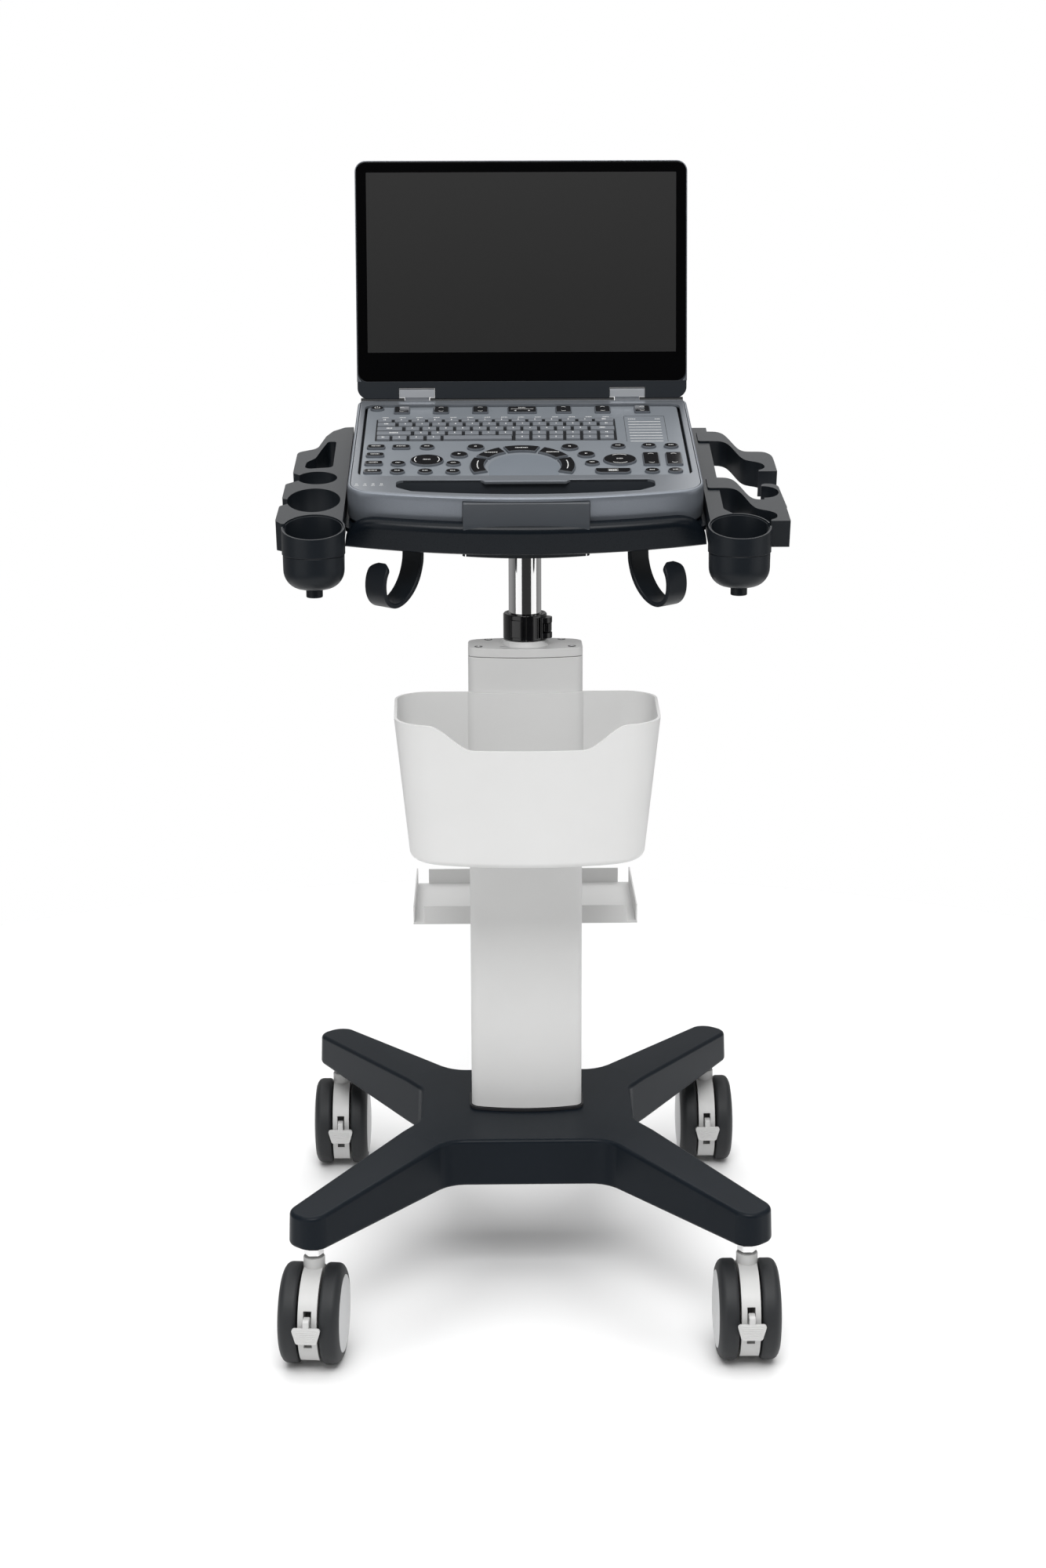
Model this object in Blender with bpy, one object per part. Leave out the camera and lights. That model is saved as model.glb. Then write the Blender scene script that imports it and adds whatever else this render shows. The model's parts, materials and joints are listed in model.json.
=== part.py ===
"""Laptop-style ultrasound machine on a four-caster height-adjustable trolley.

Metres, +Z up. The origin is on the floor under the middle of the machine, and the
operator stands at -Y. The console, its platform and the holders share one tilted frame.
"""

from math import atan2, cos, pi, radians, sin, sqrt

import bmesh
import bpy
from mathutils import Matrix, Vector

# ---------------------------------------------------------------- driving dimensions
GAP = 0.0003                       # gap kept between pieces that touch

COLUMN_Y = 0.019                   # column and lift tube axis
BASE_Y = 0.0107                    # middle of the caster pattern
CASTER_X = 0.22365                 # half the caster track
CASTER_Y = 0.2633                  # half the caster wheelbase
CASTER_YAW = {"front_left": -5.0, "front_right": 0.0, "rear_left": 0.0, "rear_right": 0.0}

WHEEL_RADIUS = 0.0517
WHEEL_INNER = 0.0118               # inner face of a wheel, from the caster's middle
WHEEL_OUTER = 0.0318
TRAIL = 0.008                      # axle in front of the swivel stem
AXLE_RADIUS = 0.0040
HOUSING_HALF = 0.0098
HOUSING_RADIUS = 0.0495
NECK_BOTTOM = 0.0940
NECK_TOP = 0.1122
LEG_BOTTOM = 0.121
LEG_TIP_BOTTOM = 0.1256

BASE_TOP = 0.1735
LEG_TIP_TOP = 0.163
LEG_TIP_RADIUS = 0.0225
LEG_SLOPE_START = 0.150            # along a leg, where its top and underside start to slope
DRAFT = 0.002                      # how much the base narrows from its underside to its top
HUB_HALF_X = 0.121
HUB_HALF_Y = 0.1105

COLUMN_HALF_X = 0.0616
COLUMN_HALF_Y = 0.0331
COLUMN_BOW = 0.0095
COLUMN_TOP = 0.690
CAP_TOP = 0.700
TUBE_RADIUS = 0.0176
TUBE_BOTTOM = 0.500
TUBE_TOP = 0.840
COLLAR_RADIUS = 0.0235
COLLAR_BOTTOM = 0.7062
COLLAR_TOP = 0.734

BASKET_BOTTOM = 0.494
BASKET_TOP = 0.652
BASKET_WALL = 0.003

SHELF_Z = 0.372
SHELF_HALF_X = 0.126
SHELF_FRONT = 0.0348               # behind the column axis
SHELF_DEPTH = 0.157
SHELF_FLANGE = 0.021
SHEET = 0.0015

DECK_Y = 0.184                     # rear edge of the console's deck
DECK_Z = 0.9452
TILT = radians(14.87)              # the deck, platform and holders slope to the operator
CONSOLE_HALF = 0.185
CONSOLE_SIDE = 0.262               # length of the console's sides
CONSOLE_BULGE = 0.023              # how far the front edge bows out
CONSOLE_HEIGHT = 0.038
RIM = 0.003
BAR = 0.0125                       # width of the front handle bar
SLOT_BACK = 0.234
SLOT_HALF = 0.134
LUG_HALF = 0.065
PANEL_HALF = 0.1748
PANEL_REAR = 0.0125
PANEL_FRONT = 0.2218
PANEL_TOP = -0.0035
PANEL_THICK = 0.0025
KEY_TOP = -0.0008

PLATFORM_HALF = 0.187
PLATFORM_FLOOR = -0.0385           # top of the platform's floor, below the deck plane
PLATFORM_THICK = 0.005
LIP_SIDE = 0.275
LIP_BULGE = 0.025
LIP_TOP = -0.025
LIP_BOTTOM = -0.057
HOLDER_TOP = -0.0175
HOLDER_BOTTOM = -0.050
RAIL_TOP = -0.0187
RAIL_INNER = 0.1873

CUP_X = 0.2165
CUP_Y = -0.115
CUP_RADIUS = 0.0303
CUP_WALL = 0.0022
CUP_BOTTOM = 0.784
CUP_RING = 0.0327
CUP_RING_BOTTOM = 0.8195

HINGE_S = -0.006                   # lid axis, measured along the deck and above it
HINGE_H = 0.00648
LID_LEAN = radians(8.15)
LID_FRONT = 0.00548                # glass plane in front of the lid axis
LID_HALF = 0.1845
LID_LOW = -0.0066
LID_HIGH = 0.2542
LID_THICK = 0.0105

CASTERS = {
    "front_left": (-CASTER_X, BASE_Y - CASTER_Y),
    "front_right": (CASTER_X, BASE_Y - CASTER_Y),
    "rear_left": (-CASTER_X, BASE_Y + CASTER_Y),
    "rear_right": (CASTER_X, BASE_Y + CASTER_Y),
}

SLATE = ((0.045, 0.053, 0.066), 0.45, 0.0)
HOLDER = ((0.050, 0.056, 0.064), 0.50, 0.0)
BODY_WHITE = ((0.74, 0.74, 0.735), 0.50, 0.0)
CASTER_GREY = ((0.56, 0.57, 0.57), 0.50, 0.0)
TYRE = ((0.040, 0.042, 0.045), 0.60, 0.0)
STEEL = ((0.62, 0.62, 0.62), 0.20, 1.0)
GLOSS_BLACK = ((0.008, 0.008, 0.009), 0.15, 0.0)
SILVER = ((0.22, 0.235, 0.26), 0.38, 0.6)
PANEL_GREY = ((0.15, 0.16, 0.175), 0.45, 0.3)
KEY_GREY = ((0.13, 0.14, 0.155), 0.50, 0.0)
BOARD = ((0.02, 0.16, 0.07), 0.50, 0.0)


# ---------------------------------------------------------------- scene and materials
def clear_scene():
    for item in list(bpy.data.objects):
        bpy.data.objects.remove(item, do_unlink=True)


def finish_material(name, finish):
    color, roughness, metallic = finish
    material = bpy.data.materials.new(name)
    material.use_nodes = True
    shader = material.node_tree.nodes["Principled BSDF"]
    shader.inputs["Base Color"].default_value = (*color, 1.0)
    shader.inputs["Roughness"].default_value = roughness
    shader.inputs["Metallic"].default_value = metallic
    return material


def empty(name, location=(0, 0, 0), rotation=(0, 0, 0), parent=None):
    item = bpy.data.objects.new(name, None)
    item.location = location
    item.rotation_euler = rotation
    item.parent = parent
    bpy.context.scene.collection.objects.link(item)
    return item


def solid(name, bm, finish, parent=None, location=(0, 0, 0), rotation=(0, 0, 0)):
    """Turn a bmesh into a named, smooth-shaded object with its own material."""
    bmesh.ops.remove_doubles(bm, verts=bm.verts, dist=1e-6)
    bmesh.ops.recalc_face_normals(bm, faces=bm.faces)
    mesh = bpy.data.meshes.new(name)
    bm.to_mesh(mesh)
    bm.free()
    mesh.shade_smooth()
    mesh.set_sharp_from_angle(angle=radians(32))
    item = bpy.data.objects.new(name, mesh)
    item.data.materials.append(finish_material(name, finish))
    item.location = location
    item.rotation_euler = rotation
    item.parent = parent
    bpy.context.scene.collection.objects.link(item)
    return item


def twin(source, name, parent, location=(0, 0, 0), rotation=(0, 0, 0), mirror=False):
    """Another object with the same shape, mirrored in X when asked."""
    bm = bmesh.new()
    bm.from_mesh(source.data)
    if mirror:
        bmesh.ops.scale(bm, vec=(-1, 1, 1), verts=bm.verts)
    shader = source.data.materials[0].node_tree.nodes["Principled BSDF"]
    finish = (
        tuple(shader.inputs["Base Color"].default_value)[:3],
        shader.inputs["Roughness"].default_value,
        shader.inputs["Metallic"].default_value,
    )
    return solid(name, bm, finish, parent, location, rotation)


def combine(target, tool, operation):
    """Join or cut target with tool, which is then only a guide."""
    tool.hide_render = True
    tool.display_type = "WIRE"
    modifier = target.modifiers.new(tool.name, "BOOLEAN")
    modifier.object = tool
    modifier.operation = operation
    modifier.solver = "EXACT"


def cut(target, tool):
    combine(target, tool, "DIFFERENCE")


def join(target, tool):
    combine(target, tool, "UNION")


def bevel(item, width, segments=2, angle=40):
    modifier = item.modifiers.new("edge round", "BEVEL")
    modifier.width = width
    modifier.segments = segments
    modifier.limit_method = "ANGLE"
    modifier.angle_limit = radians(angle)
    modifier.use_clamp_overlap = True


# ---------------------------------------------------------------- outlines
def arc(center, radius, start, end, steps):
    """Points on an arc, angles in degrees."""
    points = []
    for k in range(steps + 1):
        angle = radians(start + (end - start) * k / steps)
        points.append((center[0] + radius * cos(angle), center[1] + radius * sin(angle)))
    return points


def ellipse(center, half_x, half_y, steps=28):
    return [
        (center[0] + half_x * cos(2 * pi * k / steps), center[1] + half_y * sin(2 * pi * k / steps))
        for k in range(steps)
    ]


def rounded(corners, steps=5):
    """A closed outline from corners (x, y, radius), each rounded with an arc."""
    points = []
    count = len(corners)
    for k, (x, y, radius) in enumerate(corners):
        here = Vector((x, y))
        if radius <= 0:
            points.append((x, y))
            continue
        before = (Vector(corners[k - 1][:2]) - here).normalized()
        after = (Vector(corners[(k + 1) % count][:2]) - here).normalized()
        half = before.angle(after) / 2
        reach = radius / sin(half)
        center = here + (before + after).normalized() * reach
        first = here + before * (radius / (sin(half) / cos(half))) - center
        last = here + after * (radius / (sin(half) / cos(half))) - center
        turn = atan2(first.x * last.y - first.y * last.x, first.dot(last))
        for step in range(steps + 1):
            angle = turn * step / steps
            spoke = Matrix.Rotation(angle, 2) @ first
            points.append((center.x + spoke.x, center.y + spoke.y))
    return points


def rectangle(x0, y0, x1, y1, radius=0.0, steps=5):
    return rounded([(x0, y0, radius), (x1, y0, radius), (x1, y1, radius), (x0, y1, radius)], steps)


def bow(x, half, height):
    """Sagitta of a shallow arc of the given height over +-half."""
    return height * (1 - (x / half) ** 2)


def bowed_edge(half, edge, height, reach, steps):
    """Points of a shallow arc, left to right, between the two corner roundings."""
    points = []
    for k in range(steps + 1):
        x = (half - reach) * (2 * k / steps - 1)
        points.append((x, edge + bow(x, half, height), 0))
    return points


def bowed_outline(half_rear, half_front, rear, front, rear_bow, front_bow, radii, steps=8):
    """Rear and front faces bow outwards by the given heights; radii is (rear, front)."""
    corners = [(-half_front, front, radii[1])]
    corners += bowed_edge(half_front, front, -front_bow, 1.05 * radii[1], steps)
    corners += [(half_front, front, radii[1]), (half_rear, rear, radii[0])]
    if rear_bow > 0:
        corners += reversed(bowed_edge(half_rear, rear, rear_bow, 1.05 * radii[0], steps))
    corners.append((-half_rear, rear, radii[0]))
    return rounded(corners)


def band(path, thickness):
    """Closed outline of an open path drawn with a thickness."""
    left, right = [], []
    for k, point in enumerate(path):
        before = Vector(path[max(k - 1, 0)])
        after = Vector(path[min(k + 1, len(path) - 1)])
        along = (after - before).normalized()
        side = Vector((-along.y, along.x)) * thickness / 2
        left.append(tuple(Vector(point) + side))
        right.append(tuple(Vector(point) - side))
    return left + right[::-1]


# ---------------------------------------------------------------- meshes
def add_loft(bm, rings):
    """Closed solid through rings of equal length, capped at both ends."""
    rows = [[bm.verts.new(point) for point in ring] for ring in rings]
    count = len(rows[0])
    for low, high in zip(rows, rows[1:]):
        for k in range(count):
            after = (k + 1) % count
            bm.faces.new((low[k], low[after], high[after], high[k]))
    bm.faces.new(rows[0][::-1])
    bm.faces.new(rows[-1])


def add_prism(bm, outline, low, high):
    add_loft(bm, [[(x, y, z) for x, y in outline] for z in (low, high)])


def prism(outline, low, high):
    bm = bmesh.new()
    add_prism(bm, outline, low, high)
    return bm


def prism_x(outline, low, high):
    """Outline in (y, z), extruded along X."""
    bm = bmesh.new()
    add_loft(bm, [[(x, y, z) for y, z in outline] for x in (low, high)])
    return bm


def box(x0, x1, y0, y1, z0, z1):
    return prism([(x0, y0), (x1, y0), (x1, y1), (x0, y1)], z0, z1)


def lathe(profile, segments=28, axis="Z", closed=False):
    """Turn a profile of (radius, height); an open one starts and ends on the axis."""
    bm = bmesh.new()
    rows = []
    for radius, height in profile:
        if radius < 1e-7:
            rows.append([bm.verts.new((0, 0, height))])
            continue
        ring = []
        for k in range(segments):
            angle = 2 * pi * k / segments
            ring.append(bm.verts.new((radius * cos(angle), radius * sin(angle), height)))
        rows.append(ring)
    pairs = list(zip(rows, rows[1:]))
    if closed:
        pairs.append((rows[-1], rows[0]))
    for first, second in pairs:
        for k in range(segments):
            after = (k + 1) % segments
            corners = [first[k % len(first)], first[after % len(first)]]
            corners += [second[after % len(second)], second[k % len(second)]]
            unique = list(dict.fromkeys(corners))
            if len(unique) > 2:
                bm.faces.new(unique)
    if axis == "X":
        bmesh.ops.rotate(bm, matrix=Matrix.Rotation(pi / 2, 3, "Y"), verts=bm.verts)
    return bm


def cylinder(radius, low, high, segments=28, axis="Z"):
    return lathe([(0, low), (radius, low), (radius, high), (0, high)], segments, axis)


def tube(outer, inner, low, high, segments=28):
    profile = [(outer, low), (outer, high), (inner, high), (inner, low)]
    return lathe(profile, segments, closed=True)


# ---------------------------------------------------------------- base and casters
def base_corners():
    """X-shaped plan with rounded notches between the four legs, counter-clockwise."""
    tip_x, tip_y = CASTER_X, CASTER_Y
    along = Vector((tip_x, tip_y)).normalized()
    across = Vector((-along.y, along.x))
    tip = Vector((tip_x, tip_y)) + along * LEG_TIP_RADIUS
    side_a = tip - across * LEG_TIP_RADIUS
    side_b = tip + across * LEG_TIP_RADIUS
    quadrant = [
        (HUB_HALF_X, 0.047, 0.030),
        (side_a.x, side_a.y, LEG_TIP_RADIUS - 0.002),
        (side_b.x, side_b.y, LEG_TIP_RADIUS - 0.002),
        (0.085, HUB_HALF_Y, 0.035),
    ]
    corners = list(quadrant)
    corners += [(-x, y, r) for x, y, r in reversed(quadrant)]
    corners += [(-x, -y, r) for x, y, r in quadrant]
    corners += [(x, -y, r) for x, y, r in reversed(quadrant)]
    return corners


def inset_corners(corners, distance):
    """Move every side of a counter-clockwise outline inwards by the same distance."""
    result = []
    count = len(corners)
    for k, (x, y, radius) in enumerate(corners):
        here = Vector((x, y))
        before = (here - Vector(corners[k - 1][:2])).normalized()
        after = (Vector(corners[(k + 1) % count][:2]) - here).normalized()
        inwards = Vector((-before.y - after.y, before.x + after.x))
        moved = here + inwards * distance / (1 + before.dot(after))
        turns_left = before.x * after.y > before.y * after.x
        result.append((moved.x, moved.y, radius - distance if turns_left else radius + distance))
    return result


def build_base():
    rings = []
    for distance, z in ((0, LEG_BOTTOM), (DRAFT, BASE_TOP)):
        outline = rounded(inset_corners(base_corners(), distance), 6)
        rings.append([(x, y + BASE_Y, z) for x, y in outline])
    bm = bmesh.new()
    add_loft(bm, rings)
    base = solid("base_frame", bm, SLATE)
    run = sqrt(CASTER_X ** 2 + CASTER_Y ** 2) - LEG_SLOPE_START
    slabs = {
        "top": (BASE_TOP, atan2(BASE_TOP - LEG_TIP_TOP, run), box(0, 0.30, -0.10, 0.10, 0, 0.05)),
        "underside": (LEG_BOTTOM, atan2(LEG_BOTTOM - LEG_TIP_BOTTOM, run), box(0, 0.30, -0.10, 0.10, -0.05, 0)),
    }
    for name, (x, y) in CASTERS.items():
        heading = atan2(y - BASE_Y, x)
        start = Vector((LEG_SLOPE_START * cos(heading), BASE_Y + LEG_SLOPE_START * sin(heading), 0))
        for part, (height, slope, mesh) in slabs.items():
            slab = solid("slope_%s_%s" % (part, name), mesh.copy(), SLATE)
            slab.matrix_world = (
                Matrix.Translation(start + Vector((0, 0, height)))
                @ Matrix.Rotation(heading, 4, "Z")
                @ Matrix.Rotation(slope, 4, "Y")
            )
            cut(base, slab)
        bore = cylinder(0.0063, LEG_BOTTOM - 0.01, 0.146, 16)
        cut(base, solid("stem_bore_" + name, bore, SLATE, location=(x, y, 0)))
    return base


def wheel_mesh():
    """Rubber-tyred disc about the X axis: a blind bore inside, a domed cover outside."""
    shoulder = 0.005
    profile = [(0, 0.0240), (AXLE_RADIUS + GAP, 0.0240), (AXLE_RADIUS + GAP, WHEEL_INNER)]
    profile += [(WHEEL_RADIUS - shoulder, WHEEL_INNER)]
    profile += [(WHEEL_RADIUS - 0.0014, WHEEL_INNER + 0.0015), (WHEEL_RADIUS, WHEEL_INNER + shoulder)]
    profile += [(WHEEL_RADIUS, WHEEL_OUTER - shoulder), (WHEEL_RADIUS - 0.0014, WHEEL_OUTER - 0.0015)]
    profile += [(WHEEL_RADIUS - shoulder, WHEEL_OUTER), (0.040, WHEEL_OUTER)]
    profile += [(0.030, 0.0338), (0.015, 0.0346), (0, 0.0348)]
    return lathe(profile, 24, axis="X")


def housing_outline():
    """Side view of the strip between the wheels, about the axle."""
    floor = -0.0377
    low = atan2(floor, sqrt(HOUSING_RADIUS ** 2 - floor ** 2))
    start = low * 180 / pi
    return arc((0, 0), HOUSING_RADIUS, start, 180 - start, 26)


def build_caster(name, x, y):
    yaw = radians(CASTER_YAW[name])
    swivel = empty(name + "_swivel", (x, y, 0), (0, 0, yaw))

    stem_profile = [(0, 0.1005), (0.0050, 0.1005), (0.0050, NECK_TOP + GAP), (0.0105, NECK_TOP + GAP)]
    stem_profile += [(0.0105, LEG_TIP_BOTTOM - 0.0006), (0.0060, LEG_TIP_BOTTOM - 0.0006), (0.0060, 0.1455), (0, 0.1455)]
    solid(name + "_stem", lathe(stem_profile, 12), STEEL, location=(x, y, 0))

    axle = Vector((0, -TRAIL, WHEEL_RADIUS))
    housing = solid(
        name + "_housing", prism_x(housing_outline(), -HOUSING_HALF, HOUSING_HALF),
        CASTER_GREY, swivel, axle,
    )
    slot = box(-0.0042, 0.0042, -0.060, -0.021, -0.017, 0.0240)
    cut(housing, solid(name + "_slot", slot, CASTER_GREY, swivel, axle))
    neck = cylinder(0.0112, NECK_BOTTOM, NECK_TOP, 20)
    join(housing, solid(name + "_neck", neck, CASTER_GREY, swivel))
    axle_pin = cylinder(AXLE_RADIUS, -0.0235, 0.0235, 12, "X")
    join(housing, solid(name + "_axle", axle_pin, CASTER_GREY, swivel, axle))
    stem_bore = cylinder(0.0053, 0.1000, 0.1300, 12)
    cut(housing, solid(name + "_neck_bore", stem_bore, CASTER_GREY, swivel))

    wheel_right = solid(name + "_wheel_right", wheel_mesh(), TYRE, swivel, axle)
    twin(wheel_right, name + "_wheel_left", swivel, axle, mirror=True)

    build_pedal(name, swivel, axle)


PEDAL_PIVOT = Vector((0, -0.030, -0.0017))     # from the axle


def build_pedal(name, swivel, axle):
    arm = [(0.004, -0.005), (0.004, 0.006), (-0.018, 0.0205), (-0.0275, 0.0205), (-0.0285, 0.004)]
    arm += [(-0.0245, 0.004), (-0.0230, 0.0155), (-0.0170, 0.0155), (-0.004, -0.005)]
    pedal = solid(name + "_pedal", prism_x(arm, -0.0035, 0.0035), CASTER_GREY, swivel, axle + PEDAL_PIVOT)
    plate = [(-0.0060, 0.0120), (0.0060, 0.0120), (0.0155, 0.0090), (0.0150, 0.0050), (0.0110, -0.0060)]
    plate += [(-0.0110, -0.0060), (-0.0150, 0.0050), (-0.0155, 0.0090)]
    bm = bmesh.new()
    add_loft(bm, [[(px, py, pz) for px, pz in plate] for py in (-0.0286, -0.0240)])
    join(pedal, solid(name + "_pedal_plate", bm, CASTER_GREY, swivel, axle + PEDAL_PIVOT))


# ---------------------------------------------------------------- column, lift and clamp
def column_outline(extra=0.0):
    half_x = COLUMN_HALF_X + extra
    corner_y = COLUMN_HALF_Y - COLUMN_BOW + extra
    radii = (0.014 + extra, 0.011 + extra)
    outline = bowed_outline(half_x, half_x, corner_y, -corner_y, COLUMN_BOW, COLUMN_BOW, radii)
    return [(x, y + COLUMN_Y) for x, y in outline]


def build_column():
    gasket = prism(column_outline(0.0022), BASE_TOP + GAP, BASE_TOP + 0.0030)
    solid("column_gasket", gasket, GLOSS_BLACK)
    foot = BASE_TOP + 0.0030 + GAP
    column = solid("column", prism(column_outline(), foot, COLUMN_TOP), BODY_WHITE)
    hollow = prism(column_outline(-0.003), foot - 0.01, COLUMN_TOP + 0.01)
    cut(column, solid("column_hollow", hollow, BODY_WHITE))

    cap = solid("column_cap", prism(column_outline(), COLUMN_TOP + GAP, CAP_TOP), BODY_WHITE)
    flange = lathe([(0, CAP_TOP - 0.004), (0.0262, CAP_TOP - 0.004), (0.0262, 0.7030), (0.0235, 0.7058), (0, 0.7058)])
    join(cap, solid("cap_flange", flange, BODY_WHITE, location=(0, COLUMN_Y, 0)))
    bore = cylinder(TUBE_RADIUS + GAP, COLUMN_TOP - 0.01, 0.72, 32)
    cut(cap, solid("cap_bore", bore, BODY_WHITE, location=(0, COLUMN_Y, 0)))

    lift = tube(TUBE_RADIUS, TUBE_RADIUS - 0.0025, TUBE_BOTTOM, TUBE_TOP, 32)
    solid("lift_tube", lift, STEEL, location=(0, COLUMN_Y, 0))

    spring = [(0, foot + 0.001), (0.013, foot + 0.001), (0.013, 0.440), (0.0047, 0.440)]
    spring += [(0.0047, 0.260), (0, 0.260)]
    solid("gas_spring_body", lathe(spring, 20), GLOSS_BLACK, location=(0, COLUMN_Y, 0))
    rod = cylinder(0.0042, 0.325, TUBE_TOP, 12)
    solid("gas_spring_rod", rod, STEEL, location=(0, COLUMN_Y, 0))


LEVER_PIVOT = Vector((0.0222, COLUMN_Y - 0.0125, 0))


def build_clamp():
    """Split collar with two ears on its right front, and the lever that closes it."""
    ring = tube(COLLAR_RADIUS, TUBE_RADIUS + GAP, COLLAR_BOTTOM, COLLAR_TOP, 32)
    collar = solid("clamp_collar", ring, GLOSS_BLACK, location=(0, COLUMN_Y, 0))
    boss = ellipse((0.0205, -0.0105), 0.0085, 0.0085, 24)
    ear = solid("collar_ear", prism(boss, 0.7085, 0.7315), GLOSS_BLACK, location=(0, COLUMN_Y, 0))
    ear_bore = solid("ear_bore", tube(0.040, TUBE_RADIUS + GAP, 0.70, 0.74, 32), GLOSS_BLACK)
    ear_bore.location = (0, COLUMN_Y, 0)
    combine(ear, ear_bore, "INTERSECT")
    join(collar, ear)
    slit = box(-0.0007, 0.0007, -0.040, -0.010, 0.70, 0.74)
    cut(collar, solid("collar_slit", slit, GLOSS_BLACK, location=(0, COLUMN_Y, 0)))
    notch = box(0.0170, 0.040, -0.0230, 0.0010, 0.7145, 0.7255)
    cut(collar, solid("ear_notch", notch, GLOSS_BLACK, location=(0, COLUMN_Y, 0)))

    outline = [(-0.0040, -0.0020), (-0.0020, -0.0042), (0.0030, -0.0042), (0.0056, -0.0010), (0.0064, 0.0050)]
    outline += [(0.0062, 0.0180), (0.0040, 0.0280), (0.0012, 0.0330), (-0.0010, 0.0320), (0.0018, 0.0250)]
    outline += [(0.0030, 0.0170), (0.0030, 0.0080), (-0.0010, 0.0035)]
    lever = solid("clamp_lever", prism(outline, 0.7150, 0.7250), GLOSS_BLACK, location=LEVER_PIVOT)
    bevel(lever, 0.0008, 1)


# ---------------------------------------------------------------- basket and shelf
def basket_outline(height, inset):
    """Plan of the basket at a height from 0 (bottom) to 1 (rim)."""
    half = 0.126 + 0.0145 * height - inset
    corner = -0.150 - 0.030 * height + inset
    rear = -0.0215 - inset
    radii = (0.036 - inset, 0.046 - inset)
    outline = bowed_outline(half, half - 0.004, rear, corner, 0, 0.019, radii)
    return [(x, y + COLUMN_Y) for x, y in outline]


def basket_body(levels):
    rise = BASKET_TOP - BASKET_BOTTOM
    rings = []
    for level, inset in levels:
        outline = basket_outline(level, inset)
        rings.append([(x, y, BASKET_BOTTOM + rise * level) for x, y in outline])
    bm = bmesh.new()
    add_loft(bm, rings)
    return bm


def build_basket():
    basket = solid("basket", basket_body([(0, 0.009), (0.02, 0.003), (0.06, 0), (1, 0)]), BODY_WHITE)
    wall = BASKET_WALL
    cavity = solid("basket_cavity", basket_body([(0.02, wall + 0.006), (0.07, wall), (1.05, wall)]), BODY_WHITE)
    guard = prism(column_outline(0.0005 + wall), BASKET_BOTTOM - 0.01, BASKET_TOP + 0.03)
    cut(cavity, solid("basket_guard", guard, BODY_WHITE))
    cut(basket, cavity)
    seat = prism(column_outline(0.0005), BASKET_BOTTOM - 0.02, BASKET_TOP + 0.02)
    cut(basket, solid("basket_seat", seat, BODY_WHITE))
    dip = [(-0.102, 0.0), (-0.096, -0.003), (-0.066, -0.0215), (-0.056, -0.0255)]
    dip += [(-x, z) for x, z in reversed(dip)]
    dip += [(0.102, 0.03), (-0.102, 0.03)]
    bm = bmesh.new()
    add_loft(bm, [[(x, y, BASKET_TOP + z) for x, z in dip] for y in (-0.24, -0.100)])
    cut(basket, solid("basket_dip", bm, BODY_WHITE))


def build_shelf():
    front = COLUMN_Y + SHELF_FRONT
    rear = front + SHELF_DEPTH
    top = SHELF_Z + SHELF_FLANGE
    floor_box = box(-SHELF_HALF_X, SHELF_HALF_X, front, rear, SHELF_Z, SHELF_Z + SHEET)
    shelf = solid("rear_shelf", floor_box, BODY_WHITE)
    flanges = {
        "shelf_front": box(-0.114, 0.114, front, front + SHEET, SHELF_Z, top),
        "shelf_rear": box(-0.112, 0.112, rear - SHEET, rear, SHELF_Z, top - 0.002),
        "shelf_left": box(-SHELF_HALF_X, -SHELF_HALF_X + SHEET, front + 0.004, rear - 0.004, SHELF_Z, top),
        "shelf_right": box(SHELF_HALF_X - SHEET, SHELF_HALF_X, front + 0.004, rear - 0.004, SHELF_Z, top),
    }
    for name, mesh in flanges.items():
        join(shelf, solid(name, mesh, BODY_WHITE))


# ---------------------------------------------------------------- platform and holders
def build_platform(deck):
    half = PLATFORM_HALF
    plan = bowed_outline(half, half, -0.012, -LIP_SIDE + 0.006, 0, LIP_BULGE, (0.020, 0.010))
    floor_low = PLATFORM_FLOOR - PLATFORM_THICK
    platform = solid("platform", prism(plan, floor_low, PLATFORM_FLOOR), SLATE, deck)
    join(platform, solid("platform_lip", lip_mesh(), SLATE, deck))
    lug = [(-0.2803, -0.0045), (-0.2862, -0.0045), (-0.2968, -0.0270), (-0.2968, -0.0420), (-0.2803, -0.0420)]
    join(platform, solid("platform_lug", prism_x(lug, -LUG_HALF, LUG_HALF), SLATE, deck))

    block_plan = bowed_outline(0.066, 0.066, -0.125, -0.276, 0, 0.006, (0.006, 0.003))
    mount = solid("platform_mount", prism(block_plan, -0.068, floor_low - GAP), SLATE, deck)
    socket = cylinder(0.026, 0.800, 0.845, 28)
    join(mount, solid("mount_socket", socket, SLATE, location=(0, COLUMN_Y, 0)))
    bore = cylinder(TUBE_RADIUS + GAP, 0.79, TUBE_TOP + GAP, 32)
    cut(mount, solid("mount_bore", bore, SLATE, location=(0, COLUMN_Y, 0)))


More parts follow.
